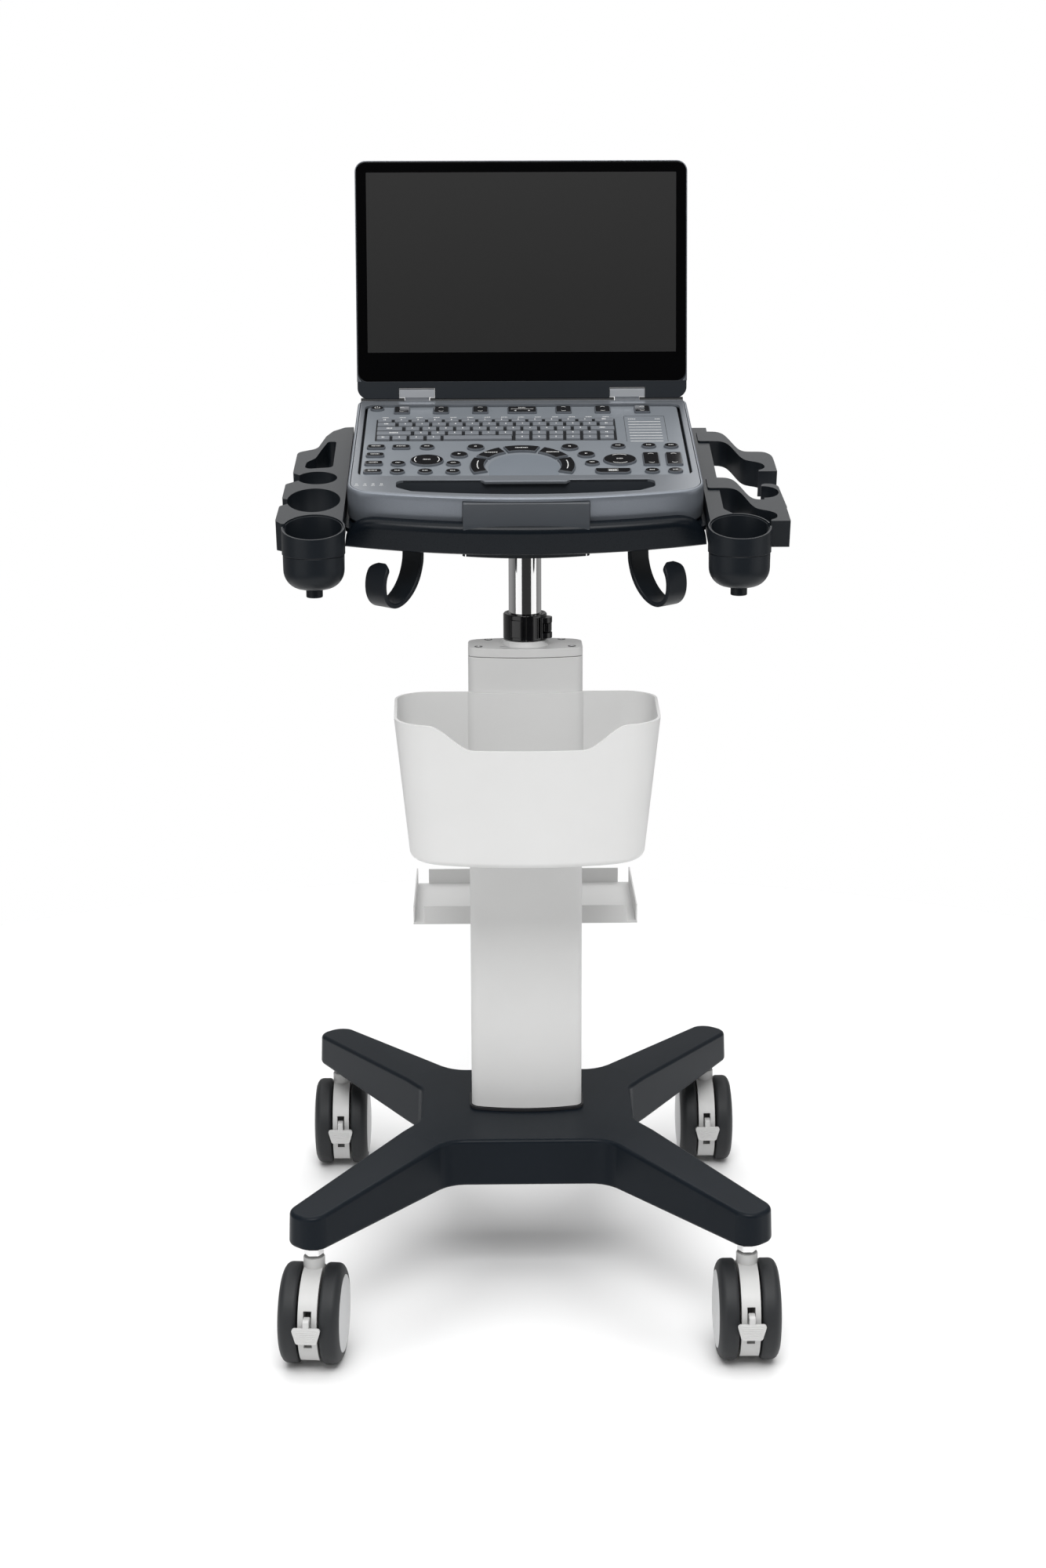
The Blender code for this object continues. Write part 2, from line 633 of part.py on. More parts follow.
def lip_mesh():
    """Front wall of the platform: a rounded bar that bows out and drops at its ends."""
    corner, drop = 0.024, 0.029
    stations = [0.0, 0.045, 0.090, 0.135, 0.163, 0.170, 0.176, 0.181, 0.185, 0.187]
    xs = [-x for x in reversed(stations)] + stations[1:]
    rings = []
    for x in xs:
        ratio = max(0.0, (abs(x) - (PLATFORM_HALF - corner)) / corner)
        top = LIP_TOP - drop * (1 - sqrt(max(0.0, 1 - ratio * ratio)))
        front = -LIP_SIDE - bow(x, PLATFORM_HALF, LIP_BULGE)
        edge = min(0.006, (top - LIP_BOTTOM) * 0.4)
        section = [(front + 0.012, LIP_BOTTOM), (front + 0.002, LIP_BOTTOM), (front, LIP_BOTTOM + edge * 0.3)]
        section += [(front, top - edge), (front + 0.3 * edge, top - 0.3 * edge), (front + edge, top)]
        section += [(front + 0.012, top)]
        rings.append([(x, y, z) for y, z in section])
    bm = bmesh.new()
    add_loft(bm, rings)
    return bm


def level_top(bm, level):
    """Bring the top of an upright gel cup part onto a plane parallel to the deck."""
    for vertex in bm.verts:
        if vertex.co.z > DECK_Z:
            behind = vertex.co.y + CUP_Y - DECK_Y
            vertex.co.z = DECK_Z + level / cos(TILT) + behind * sin(TILT) / cos(TILT)


def cup_ring(name, side, level):
    """Upright collar that carries a gel cup."""
    ring = cylinder(CUP_RING, CUP_RING_BOTTOM, 1.0, 32)
    level_top(ring, level - 0.0002)
    return solid(name, ring, HOLDER, location=(side * CUP_X, CUP_Y, 0))


def cup_bore(name, side):
    return solid(name, cylinder(CUP_RADIUS + GAP, 0.70, 0.95, 32), HOLDER, location=(side * CUP_X, CUP_Y, 0))


def cable_slot(name, side):
    """Narrow upright slot on the outer side of a gel cup and its collar."""
    x0, x1 = sorted((side * (CUP_X + 0.022), side * (CUP_X + 0.060)))
    return solid(name, box(x0, x1, CUP_Y + 0.0005, CUP_Y + 0.0075, 0.8230, 0.90), HOLDER)


def build_gel_cup(name, side, level):
    outer, wall, low = CUP_RADIUS, CUP_WALL, CUP_BOTTOM
    profile = [(0, low - 0.0085), (0.0085, low - 0.0085), (0.0085, low + 0.0005), (0.018, low + 0.0010)]
    profile += [(0.0250, low + 0.0040), (0.0288, low + 0.0100), (0.0306, low + 0.0180)]
    profile += [(0.0316, CUP_RING_BOTTOM - GAP), (outer, CUP_RING_BOTTOM - GAP), (outer, 1.0)]
    profile += [(outer - wall, 1.0), (outer - wall, low + 0.019), (0.0240, low + 0.0070), (0, low + 0.0040)]
    bm = lathe(profile, 32)
    level_top(bm, level)
    cup = solid(name, bm, HOLDER, location=(side * CUP_X, CUP_Y, 0))
    cut(cup, cable_slot(name + "_slot", side))


def build_left_holder(deck):
    """Stepped plate with two probe rings, a cable pocket and the gel cup collar."""
    plan = [(-RAIL_INNER, -0.036, 0), (-0.1970, -0.037, 0.006), (-0.2096, -0.0485, 0.006)]
    plan += [(-0.2165, -0.0640, 0.010), (-0.2240, -0.1000, 0.014), (-0.2450, -0.1110, 0.010)]
    plan += [(-0.2462, -0.1700, 0.005), (-0.2380, -0.1770, 0.002), (-0.2380, -0.1900, 0.002)]
    plan += [(-0.2520, -0.2010, 0.005), (-0.2530, -0.2400, 0.004), (-0.2440, -0.2430, 0.002)]
    plan += [(-0.2440, -0.2520, 0.002), (-0.2545, -0.2600, 0.005), (-0.2560, -0.2980, 0.006)]
    plan += [(-0.2400, -0.3180, 0.008), (-RAIL_INNER, -0.3180, 0.006)]
    holder = solid("left_holder", prism(rounded(plan, 4), HOLDER_BOTTOM, HOLDER_TOP), HOLDER, deck)
    cut(holder, solid("left_trim", below_cups(-1), HOLDER))
    join(holder, cup_ring("left_ring", -1, HOLDER_TOP))
    pocket = [(-0.2350, -0.1590, 0.006), (-0.2335, -0.1400, 0.008), (-0.2245, -0.1280, 0.012)]
    pocket += [(-0.2185, -0.1000, 0.012), (-0.2135, -0.0800, 0.004), (-0.2045, -0.0800, 0.003)]
    pocket += [(-0.2045, -0.1540, 0.006)]
    deep, high = HOLDER_BOTTOM - 0.01, HOLDER_TOP + 0.01
    cut(holder, solid("left_pocket", prism(rounded(pocket, 4), deep, high), HOLDER, deck))
    rings = {"probe_bore_rear": ((-0.2197, -0.1840), 0.0212, 0.0175),
             "probe_bore_front": ((-0.2199, -0.2446), 0.0276, 0.0315)}
    for name, (center, half_x, half_y) in rings.items():
        bore = prism(ellipse(center, half_x, half_y), deep, high)
        cut(holder, solid(name, bore, HOLDER, deck))
    cut(holder, cable_slot("left_cable_slot", -1))
    cut(holder, cup_bore("left_cup_bore", -1))


def below_cups(side):
    """Space in front of and under a cup collar, which the sloping plate must leave free."""
    x = side * CUP_X
    bm = bmesh.new()
    outline = [(x - 0.045, CUP_Y - 0.060), (x + 0.045, CUP_Y - 0.060), (x + 0.045, CUP_Y + 0.034)]
    outline += [(x - 0.045, CUP_Y + 0.034)]
    add_prism(bm, outline, 0.70, CUP_RING_BOTTOM + 0.0008)
    return bm


def arm_outline():
    """S-shaped cable arm seen from above: root at the rail, turned forward at its end."""
    return [
        (0.2040, -0.0560), (0.2133, -0.0563), (0.2200, -0.0625), (0.2240, -0.0740), (0.2275, -0.0880),
        (0.2320, -0.1060), (0.2365, -0.1140), (0.2420, -0.1163), (0.2560, -0.1163), (0.2620, -0.1185),
        (0.2665, -0.1250), (0.2685, -0.1330), (0.2690, -0.1725), (0.2492, -0.1725), (0.2492, -0.1690),
        (0.2555, -0.1650), (0.2572, -0.1590), (0.2560, -0.1520), (0.2500, -0.1465), (0.2420, -0.1430),
        (0.2370, -0.1395), (0.2330, -0.1310), (0.2300, -0.1190), (0.2260, -0.1020), (0.2215, -0.0900),
        (0.2150, -0.0850), (0.2040, -0.0845),
    ]


ARM_PITCH = 0.1335


def arm_mesh(offset):
    outline = [(x, y - offset) for x, y in arm_outline()]
    return prism(outline, HOLDER_BOTTOM + 0.004, HOLDER_TOP + 0.0005)


def arm_root(offset):
    plan = rectangle(0.1915, -0.0845 - offset, 0.2065, -0.0560 - offset, 0.0)
    return prism(plan, -0.0300, HOLDER_TOP + 0.0005)


def build_right_holder(deck):
    rail_plan = [(RAIL_INNER, -0.040, 0), (RAIL_INNER, -0.3180, 0.006), (0.2400, -0.3180, 0.008)]
    rail_plan += [(0.2480, -0.3000, 0.008), (0.2150, -0.2860, 0.010), (0.2035, -0.2700, 0.010)]
    rail_plan += [(0.2035, -0.0400, 0)]
    rail = solid("right_rail", prism(rounded(rail_plan, 4), HOLDER_BOTTOM, RAIL_TOP), HOLDER, deck)
    for name, offset in (("rear", 0.0), ("front", ARM_PITCH)):
        clearance = rectangle(0.1912, -0.0848 - offset, 0.2100, -0.0557 - offset)
        seat = prism(clearance, -0.0303, 0.01)
        cut(rail, solid("arm_seat_" + name, seat, HOLDER, deck))
        arm = solid(name + "_cable_arm", arm_mesh(offset), HOLDER, deck)
        join(arm, solid(name + "_arm_root", arm_root(offset), HOLDER, deck))
    cut(rail, solid("right_trim", below_cups(1), HOLDER))
    join(rail, cup_ring("right_ring", 1, RAIL_TOP))
    cut(rail, cable_slot("right_cable_slot", 1))
    cut(rail, cup_bore("right_cup_bore", 1))
    bar = rounded([(0.2480, -0.2300, 0), (0.2480, -0.2070, 0.005), (0.2655, -0.2070, 0.010), (0.2690, -0.2700, 0),
                   (0.2480, -0.2700, 0)], 4)
    front_arm = bpy.data.objects["front_cable_arm"]
    join(front_arm, solid("arm_bar", prism(bar, HOLDER_BOTTOM + 0.004, HOLDER_TOP + 0.0005), HOLDER, deck))
    notch = prism(ellipse((0.2490, -0.2295), 0.0155, 0.0155), HOLDER_BOTTOM - 0.01, HOLDER_TOP + 0.01)
    cut(front_arm, solid("arm_notch", notch, HOLDER, deck))


def hook_path():
    """J seen from its side: down from the platform, round, and up to a curled tip."""
    return [
        (0, 0.0980), (0, 0.0550), (0.0015, 0.0420), (0.0060, 0.0290), (0.0135, 0.0175), (0.0230, 0.0090),
        (0.0330, 0.0045), (0.0415, 0.0045), (0.0485, 0.0090), (0.0525, 0.0165), (0.0535, 0.0260),
        (0.0520, 0.0350), (0.0480, 0.0425), (0.0430, 0.0465),
    ]


def hook_mesh():
    half = 0.0145
    bm = bmesh.new()
    add_loft(bm, [[(u, across, z) for u, z in band(hook_path(), 0.005)] for across in (-half, half)])
    return bm


def build_hooks(deck):
    """Cable hooks under the platform, opening outwards and towards the operator."""
    left = solid("left_cable_hook", hook_mesh(), HOLDER)
    left.location = (-0.1180, -0.0360, 0.7540)
    left.rotation_euler = (0, 0, radians(225))
    right = twin(left, "right_cable_hook", None)
    right.location = (0.1180, -0.0360, 0.7540)
    right.rotation_euler = (0, 0, radians(-45))
    low = PLATFORM_FLOOR - PLATFORM_THICK - GAP
    above = solid("above_hooks", box(-0.20, 0.20, -0.30, -0.15, low, low + 0.05), HOLDER, deck)
    cut(left, above)
    cut(right, above)


# ---------------------------------------------------------------- console
def console_plan(inset, front_inset):
    half = CONSOLE_HALF - inset
    radii = (max(0.004, 0.009 - inset), 0.026 - front_inset)
    side = -(CONSOLE_SIDE - front_inset)
    return bowed_outline(half - 0.0012, half, -inset, side, 0, CONSOLE_BULGE, radii, 10)


def build_console_shell(deck):
    base = solid("console_base", prism(console_plan(0, 0), -CONSOLE_HEIGHT, 0), SILVER, deck)
    cavity = prism(console_plan(RIM, BAR), -CONSOLE_HEIGHT + 0.0025, 0.01)
    cut(base, solid("console_cavity", cavity, SILVER, deck))
    notch = box(-LUG_HALF - 0.0005, LUG_HALF + 0.0005, -0.30, -0.2798, -CONSOLE_HEIGHT - 0.01, -0.0040)
    cut(base, solid("console_notch", notch, SILVER, deck))

    frame_plan = console_plan(RIM + GAP, BAR + GAP)
    frame = solid("console_frame", prism(frame_plan, -0.0030, 0), SILVER, deck)
    wall = box(-SLOT_HALF - 0.002, SLOT_HALF + 0.002, -SLOT_BACK, -SLOT_BACK + 0.0025, -0.0340, -0.0010)
    join(frame, solid("slot_wall", wall, SILVER, deck))
    slot = rectangle(-SLOT_HALF, -0.300, SLOT_HALF, -SLOT_BACK, 0.009)
    cut(frame, solid("slot_cut", prism(slot, -0.05, 0.01), SILVER, deck))
    window = rectangle(-PANEL_HALF, -PANEL_FRONT, PANEL_HALF, -PANEL_REAR, 0.010)
    cut(frame, solid("panel_window", prism(window, -0.01, 0.01), SILVER, deck))


KEYBOARD_LEFT = -0.1605
KEYBOARD_RIGHT = 0.1015
KEYBOARD_ROWS = [(0.0475, 0.0055)] + [(0.0595 + 0.0132 * k, 0.0104) for k in range(5)]

# keys that have a joint: centre (x, s), half sizes, corner radius
KEYS = {
    "power_button": ((-0.1615, 0.0200), 0.0078, 0.0052, 0.0051),
    "menu_key": ((-0.0005, 0.0268), 0.0155, 0.0078, 0.0015),
    "angle_key": ((-0.1035, 0.1745), 0.0185, 0.0155, 0.0150),
    "gain_key": ((0.1010, 0.1745), 0.0185, 0.0155, 0.0150),
    "freeze_key": ((0.0925, 0.2070), 0.0195, 0.0062, 0.0045),
    "left_rocker": ((0.1343, 0.1730), 0.0085, 0.0175, 0.0020),
    "right_rocker": ((0.1587, 0.1730), 0.0085, 0.0175, 0.0020),
}
TRACKPAD = ((-0.0010, 0.2215), 0.0480, 0.0655)      # half disc: middle of its front edge, half sizes


def trackpad_outline(extra):
    (x, s), half_x, half_y = TRACKPAD
    points = [(x - half_x * 0.92 - extra, -s - extra)]
    points += [(x + half_x * 0.92 + extra, -s - extra)]
    for k in range(0, 17):
        angle = radians(12 + (180 - 24) * k / 16)
        points.append((x + (half_x + extra) * cos(angle), -s + (half_y + extra) * sin(angle)))
    return points


def build_panel(deck):
    half = PANEL_HALF + 0.003
    plan = rectangle(-half, -PANEL_FRONT - 0.004, half, -PANEL_REAR + 0.003, 0.010)
    low = PANEL_TOP - PANEL_THICK
    panel = solid("control_panel", prism(plan, low, PANEL_TOP), PANEL_GREY, deck)
    window = rectangle(KEYBOARD_LEFT - 0.001, -0.1185, KEYBOARD_RIGHT + 0.001, -0.0430)
    cut(panel, solid("keyboard_window", prism(window, -0.02, 0.01), PANEL_GREY, deck))
    for name, ((x, s), half_x, half_y, radius) in KEYS.items():
        play = 0.0004
        hole = rectangle(x - half_x - play, -s - half_y - play, x + half_x + play, -s + half_y + play, radius)
        cut(panel, solid(name + "_hole", prism(hole, -0.02, 0.01), PANEL_GREY, deck))
        key = rectangle(-half_x, -half_y, half_x, half_y, radius)
        bm = prism(key, -0.0055, KEY_TOP)
        solid(name, bm, GLOSS_BLACK, deck, location=(x, -s, 0))
    pad_hole = prism(trackpad_outline(0.0004), -0.02, 0.01)
    cut(panel, solid("trackpad_hole", pad_hole, PANEL_GREY, deck))
    solid("trackpad", prism(trackpad_outline(0), low, PANEL_TOP - 0.0002), PANEL_GREY, deck)


def build_keyboard(deck):
    """One key mat with a raised bar for each row."""
    mat_low, mat_high, key_top = -0.0082, -0.0066, -0.0012
    outline = [(-0.1205, mat_low), (-0.1205, mat_high)]
    for s, height in reversed(KEYBOARD_ROWS):
        outline += [(-s - height / 2, mat_high), (-s - height / 2, key_top)]
        outline += [(-s + height / 2, key_top), (-s + height / 2, mat_high)]
    outline += [(-0.0410, mat_high), (-0.0410, mat_low)]
    solid("keyboard", prism_x(outline, KEYBOARD_LEFT, KEYBOARD_RIGHT), KEY_GREY, deck)


def build_internals(deck):
    board = solid("main_board", box(-0.165, 0.060, -0.215, -0.012, -0.0210, -0.0194), BOARD, deck)
    chips = {"beamformer": (-0.120, -0.080, -0.110, -0.070), "processor": (-0.045, -0.010, -0.120, -0.085),
             "memory": (0.010, 0.045, -0.100, -0.060)}
    for name, (x0, x1, y0, y1) in chips.items():
        join(board, solid(name, box(x0, x1, y0, y1, -0.0200, -0.0160), BOARD, deck))
    pack = rectangle(0.070, -0.210, 0.165, -0.020, 0.004, 2)
    solid("battery", prism(pack, -0.0340, -0.0125), GLOSS_BLACK, deck)


# ---------------------------------------------------------------- lid
def lid_hinge_point():
    """World position of the lid's axis."""
    y = DECK_Y - HINGE_S * cos(TILT) - HINGE_H * sin(TILT)
    z = DECK_Z - HINGE_S * sin(TILT) + HINGE_H * cos(TILT)
    return Vector((0, y, z))


def lid_plate(x_half, low, high, front, back, radius, steps=5):
    """Plate in the lid's frame: up is Z, the operator is at -Y."""
    outline = rectangle(-x_half, low, x_half, high, radius, steps)
    bm = bmesh.new()
    add_loft(bm, [[(x, y, z) for x, z in outline] for y in (-LID_FRONT + front, -LID_FRONT + back)])
    return bm


def build_lid():
    lid = empty("lid_frame", lid_hinge_point(), (-LID_LEAN, 0, 0))
    cover = solid("lid_cover", lid_plate(LID_HALF, LID_LOW, LID_HIGH, 0, LID_THICK, 0.012), SLATE, lid)
    glass_low, glass_high = 0.0124, LID_HIGH - 0.0013
    glass_half = LID_HALF - 0.0013
    glass_pocket = lid_plate(glass_half, glass_low, glass_high, -0.005, 0.0016, 0.0108)
    cut(cover, solid("glass_pocket", glass_pocket, SLATE, lid))
    panel_pocket = lid_plate(0.1745, 0.040, 0.246, 0.0005, 0.0062, 0.002, 2)
    cut(cover, solid("display_pocket", panel_pocket, SLATE, lid))
    for side in (-1, 1):
        x0, x1 = sorted((side * 0.0970, side * 0.1385))
        notch = box(x0, x1, -0.02, 0.02, LID_LOW - 0.01, 0.0056)
        cut(cover, solid("hinge_notch_%d" % side, notch, SLATE, lid))
    glass = lid_plate(glass_half - GAP, glass_low + GAP, glass_high - GAP, 0, 0.0013, 0.0105)
    solid("lid_glass", glass, GLOSS_BLACK, lid)
    display = lid_plate(0.1741, 0.0404, 0.2456, 0.0019, 0.0058, 0.0016, 2)
    solid("display_panel", display, STEEL, lid)


def build_hinges(deck):
    """Fixed hinge bodies: a flat-fronted barrel on the lid axis and a foot behind the console."""
    axis = lid_hinge_point()
    for name, side in (("left_hinge", -1), ("right_hinge", 1)):
        x0, x1 = sorted((side * 0.0982, side * 0.1373))
        front = -LID_FRONT + 0.0014
        barrel = [point for point in arc((0, 0), 0.0050, -100, 215, 18) if point[0] > front]
        barrel += [(front, 0.0030), (front, -0.0047)]
        hinge = solid(name, prism_x(barrel, x0, x1), STEEL, location=axis)
        foot = prism_x([(0.0010, -0.0300), (0.0034, -0.0300), (0.0110, 0.0040), (0.0035, 0.0050)], x0 + 0.006, x1 - 0.006)
        join(hinge, solid(name + "_foot", foot, STEEL, deck))


def main():
    clear_scene()
    build_base()
    for name, (x, y) in CASTERS.items():
        build_caster(name, x, y)
    build_column()
    build_clamp()
    build_basket()
    build_shelf()
    deck = empty("deck_frame", (0, DECK_Y, DECK_Z), (TILT, 0, 0))
    build_platform(deck)
    build_left_holder(deck)
    build_right_holder(deck)
    build_gel_cup("left_gel_cup", -1, HOLDER_TOP - 0.0012)
    build_gel_cup("right_gel_cup", 1, RAIL_TOP - 0.0012)
    build_hooks(deck)
    build_console_shell(deck)
    build_panel(deck)
    build_keyboard(deck)
    build_internals(deck)
    build_lid()
    build_hinges(deck)


main()
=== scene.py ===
"""Looks for the laptop-style ultrasound machine on its caster trolley.

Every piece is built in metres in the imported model's frame and rides on one of its bodies.
Pieces of the console, platform and holders are drawn in the tilted deck frame.
"""

import json
from math import atan2, cos, pi, radians, sin, sqrt

import bmesh
import bpy
from mathutils import Matrix, Vector

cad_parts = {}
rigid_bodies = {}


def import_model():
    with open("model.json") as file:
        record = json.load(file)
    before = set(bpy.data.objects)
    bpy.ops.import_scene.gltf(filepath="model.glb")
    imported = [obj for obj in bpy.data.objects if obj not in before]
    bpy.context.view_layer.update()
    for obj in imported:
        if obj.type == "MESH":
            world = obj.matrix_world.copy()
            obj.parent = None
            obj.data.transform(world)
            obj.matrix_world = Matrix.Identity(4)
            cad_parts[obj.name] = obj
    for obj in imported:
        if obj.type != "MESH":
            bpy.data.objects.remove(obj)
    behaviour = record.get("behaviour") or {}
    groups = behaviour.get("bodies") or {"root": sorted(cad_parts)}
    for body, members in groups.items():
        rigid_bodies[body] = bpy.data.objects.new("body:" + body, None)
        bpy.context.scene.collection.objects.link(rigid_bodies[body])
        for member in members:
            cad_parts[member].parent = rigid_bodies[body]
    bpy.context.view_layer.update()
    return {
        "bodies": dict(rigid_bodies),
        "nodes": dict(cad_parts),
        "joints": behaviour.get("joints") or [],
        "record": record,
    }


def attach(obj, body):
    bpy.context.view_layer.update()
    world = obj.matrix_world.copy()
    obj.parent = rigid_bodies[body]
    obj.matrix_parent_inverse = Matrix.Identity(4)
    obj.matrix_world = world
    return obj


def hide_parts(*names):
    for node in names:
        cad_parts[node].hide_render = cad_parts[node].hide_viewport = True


# ---- dimensions shared with the frame
COLUMN_Y = 0.019
BASE_Y = 0.0107
CASTER_X = 0.22365
CASTER_Y = 0.2633
CASTERS = {
    "front_left": (-CASTER_X, BASE_Y - CASTER_Y, -5.0),
    "front_right": (CASTER_X, BASE_Y - CASTER_Y, 0.0),
    "rear_left": (-CASTER_X, BASE_Y + CASTER_Y, 0.0),
    "rear_right": (CASTER_X, BASE_Y + CASTER_Y, 0.0),
}
WHEEL_RADIUS = 0.0517
TRAIL = 0.008
LEG_BOTTOM = 0.121
LEG_TIP_BOTTOM = 0.1256
BASE_TOP = 0.1735
LEG_TIP_TOP = 0.163
LEG_TIP_RADIUS = 0.0225
LEG_SLOPE_START = 0.15
DRAFT = 0.002
TUBE_BORE = 0.0179

TILT = radians(14.87)
DECK_Y = 0.184
DECK_Z = 0.9452
DECK = Matrix.Translation((0, DECK_Y, DECK_Z)) @ Matrix.Rotation(TILT, 4, "X")
CONSOLE_HALF = 0.185
CONSOLE_SIDE = 0.262
CONSOLE_BULGE = 0.023
CONSOLE_HEIGHT = 0.038
PANEL_TOP = -0.0035
KEY_TOP = -0.0008
RAIL_INNER = 0.1873
HOLDER_TOP = -0.0175
HOLDER_BOTTOM = -0.05
RAIL_TOP = -0.0187
CUP_X = 0.2165
CUP_Y = -0.115

LID_LEAN = radians(8.15)
LID_AXIS = DECK @ Vector((0, 0.006, 0.00648))
LID = Matrix.Translation(LID_AXIS) @ Matrix.Rotation(-LID_LEAN, 4, "X")
LID_HALF = 0.1845
LID_FRONT = 0.00548
LID_LOW = -0.0066
LID_HIGH = 0.2542
LID_THICK = 0.0105

PLATFORM_HALF = 0.187
PLATFORM_SIDE = 0.269
PLATFORM_BULGE = 0.025
LUG_HALF = 0.065
SLOT_HALF = 0.134
KEY_PITCH = 0.01835
KEY_WIDE = 0.0144
SPACE_BAR = (4, 4)

ROOM_FRONT = 0.04
ROOM_BACK = 0.34
CAMERA_LENS = 57.19
CAMERA_AT = (-0.0397, -2.6264, 1.2195)
CAMERA_YAW = radians(-0.8)
CAMERA_DOWN = radians(14.34)
CAMERA_ROLL = radians(-0.18)


# ---- materials
def surface(name, color, roughness, metallic=0.0, grain=0.06, grain_scale=1600.0, mottle=0.04, specular=0.5,
            flake=0.0):
    """A moulded, painted or polished surface with fine grain, faint mottling and uneven gloss."""
    material = bpy.data.materials.new(name)
    material.use_nodes = True
    nodes, links = material.node_tree.nodes, material.node_tree.links
    shader = nodes["Principled BSDF"]
    shader.inputs["Metallic"].default_value = metallic
    shader.inputs["Specular IOR Level"].default_value = specular
    place = nodes.new("ShaderNodeTexCoord")

    cloud = nodes.new("ShaderNodeTexNoise")
    cloud.inputs["Scale"].default_value = 3000.0 if flake else 14.0
    cloud.inputs["Detail"].default_value = 3.0
    links.new(place.outputs["Object"], cloud.inputs["Vector"])
    shades = nodes.new("ShaderNodeValToRGB")
    spread = flake or mottle
    shades.color_ramp.elements[0].position = 0.3
    shades.color_ramp.elements[1].position = 0.7
    shades.color_ramp.elements[0].color = (*[c * (1 - spread) for c in color], 1)
    shades.color_ramp.elements[1].color = (*[min(1.0, c * (1 + spread)) for c in color], 1)
    links.new(cloud.outputs["Fac"], shades.inputs["Fac"])
    links.new(shades.outputs["Color"], shader.inputs["Base Color"])

    fine = nodes.new("ShaderNodeTexNoise")
    fine.inputs["Scale"].default_value = grain_scale
    fine.inputs["Detail"].default_value = 4.0
    links.new(place.outputs["Object"], fine.inputs["Vector"])
    gloss = nodes.new("ShaderNodeMapRange")
    gloss.inputs["To Min"].default_value = max(0.02, roughness * 0.88)
    gloss.inputs["To Max"].default_value = min(1.0, roughness * 1.12)
    links.new(fine.outputs["Fac"], gloss.inputs["Value"])
    links.new(gloss.outputs["Result"], shader.inputs["Roughness"])
    if grain > 0:
        bump = nodes.new("ShaderNodeBump")
        bump.inputs["Strength"].default_value = grain
        bump.inputs["Distance"].default_value = 0.0004
        links.new(fine.outputs["Fac"], bump.inputs["Height"])
        links.new(bump.outputs["Normal"], shader.inputs["Normal"])
    return material


def make_materials():
    return {
        "base_paint": surface("base_paint", (0.0052, 0.008, 0.0118), 0.36, grain=0.1, specular=0.11),
        "slate": surface("slate_paint", (0.0052, 0.0078, 0.0112), 0.32, grain=0.1, specular=0.16),
        "lid": surface("lid_paint", (0.0135, 0.0165, 0.0205), 0.34, grain=0.1, specular=0.22),
        "tray": surface("tray_paint", (0.0046, 0.0068, 0.0098), 0.28, grain=0.1, specular=0.16),
        # Pocket grey: the finger pocket's own wall colour; on the platform lug it is a painted highlight,
        # lighter than the tray paint
        "pocket": surface("pocket_grey_and_lug_highlight", (0.034, 0.039, 0.046), 0.4, grain=0.1),
        "holder": surface("holder_plastic", (0.0082, 0.0106, 0.0138), 0.38, grain=0.12, specular=0.18),
        "white": surface("warm_white_coat", (0.66, 0.66, 0.655), 0.45, grain=0.08, mottle=0.012,
                         specular=0.3),
        "basket": surface("basket_plastic", (0.7, 0.7, 0.695), 0.4, grain=0.05, mottle=0.012, specular=0.3),
        "caster": surface("caster_plastic", (0.5, 0.5, 0.495), 0.42, grain=0.08, mottle=0.02),
        "disc": surface("wheel_disc", (0.52, 0.525, 0.53), 0.45, grain=0.08, mottle=0.02),
        "tyre": surface("tyre_rubber", (0.0125, 0.0138, 0.0155), 0.55, grain=0.2, grain_scale=2200,
                        mottle=0.1, specular=0.35),
        "chrome": surface("chrome", (0.74, 0.74, 0.74), 0.08, 1.0, grain=0.0, mottle=0.01),
        "steel": surface("bright_steel", (0.55, 0.55, 0.55), 0.24, 1.0, grain=0.05, mottle=0.03),
        "black": surface("gloss_black", (0.004, 0.004, 0.005), 0.16, grain=0.02, mottle=0.05),
        "rubber": surface("gasket_rubber", (0.012, 0.012, 0.014), 0.55, grain=0.15),
        "silver": surface("metallic_grey", (0.175, 0.192, 0.218), 0.36, 0.45, grain=0.12, flake=0.16),
        "deck": surface("deck_grey", (0.172, 0.185, 0.204), 0.36, 0.4, grain=0.08, flake=0.1),
        "panel": surface("panel_grey", (0.19, 0.208, 0.23), 0.42, 0.1, grain=0.1),
        "skirt": surface("key_rubber", (0.085, 0.095, 0.11), 0.45, grain=0.1),
        "keycap": surface("keyboard_key", (0.15, 0.162, 0.18), 0.5, grain=0.12),
        "key_gap": surface("key_gap", (0.006, 0.007, 0.009), 0.6, grain=0.1, specular=0.3),
        "pad": surface("trackpad_grey", (0.15, 0.17, 0.195), 0.4, grain=0.05),
        "mark": surface("white_print", (0.7, 0.7, 0.69), 0.5, grain=0.0, mottle=0.01),
        "glass": surface("black_glass", (0.001, 0.001, 0.0012), 0.08, grain=0.0, mottle=0.01, specular=0.3),
        "screen": surface("dark_display", (0.0105, 0.0105, 0.0105), 0.45, grain=0.0, mottle=0.01,
                          specular=0.2),
        "rim": surface("lid_rim", (0.2, 0.21, 0.23), 0.3, 0.9, grain=0.04),
        "hinge": surface("hinge_silver", (0.52, 0.54, 0.57), 0.32, 0.45, grain=0.04),
        "board": surface("circuit_board", (0.02, 0.16, 0.07), 0.45, grain=0.05),
        # Near-black painted shade: the rings round the cap screws and the plate that darkens the gap round
        # the panel
        "cavity": surface("painted_shade_black", (0.006, 0.007, 0.009), 0.5, grain=0.1, specular=0.3),
    }


# ---- outlines
def arc(center, radius, start, end, steps):
    points = []
    for k in range(steps + 1):
        angle = radians(start + (end - start) * k / steps)
        points.append((center[0] + radius * cos(angle), center[1] + radius * sin(angle)))
    return points


def ellipse(center, half_x, half_y, steps=72):
    return [
        (center[0] + half_x * cos(2 * pi * k / steps), center[1] + half_y * sin(2 * pi * k / steps))
        for k in range(steps)
    ]


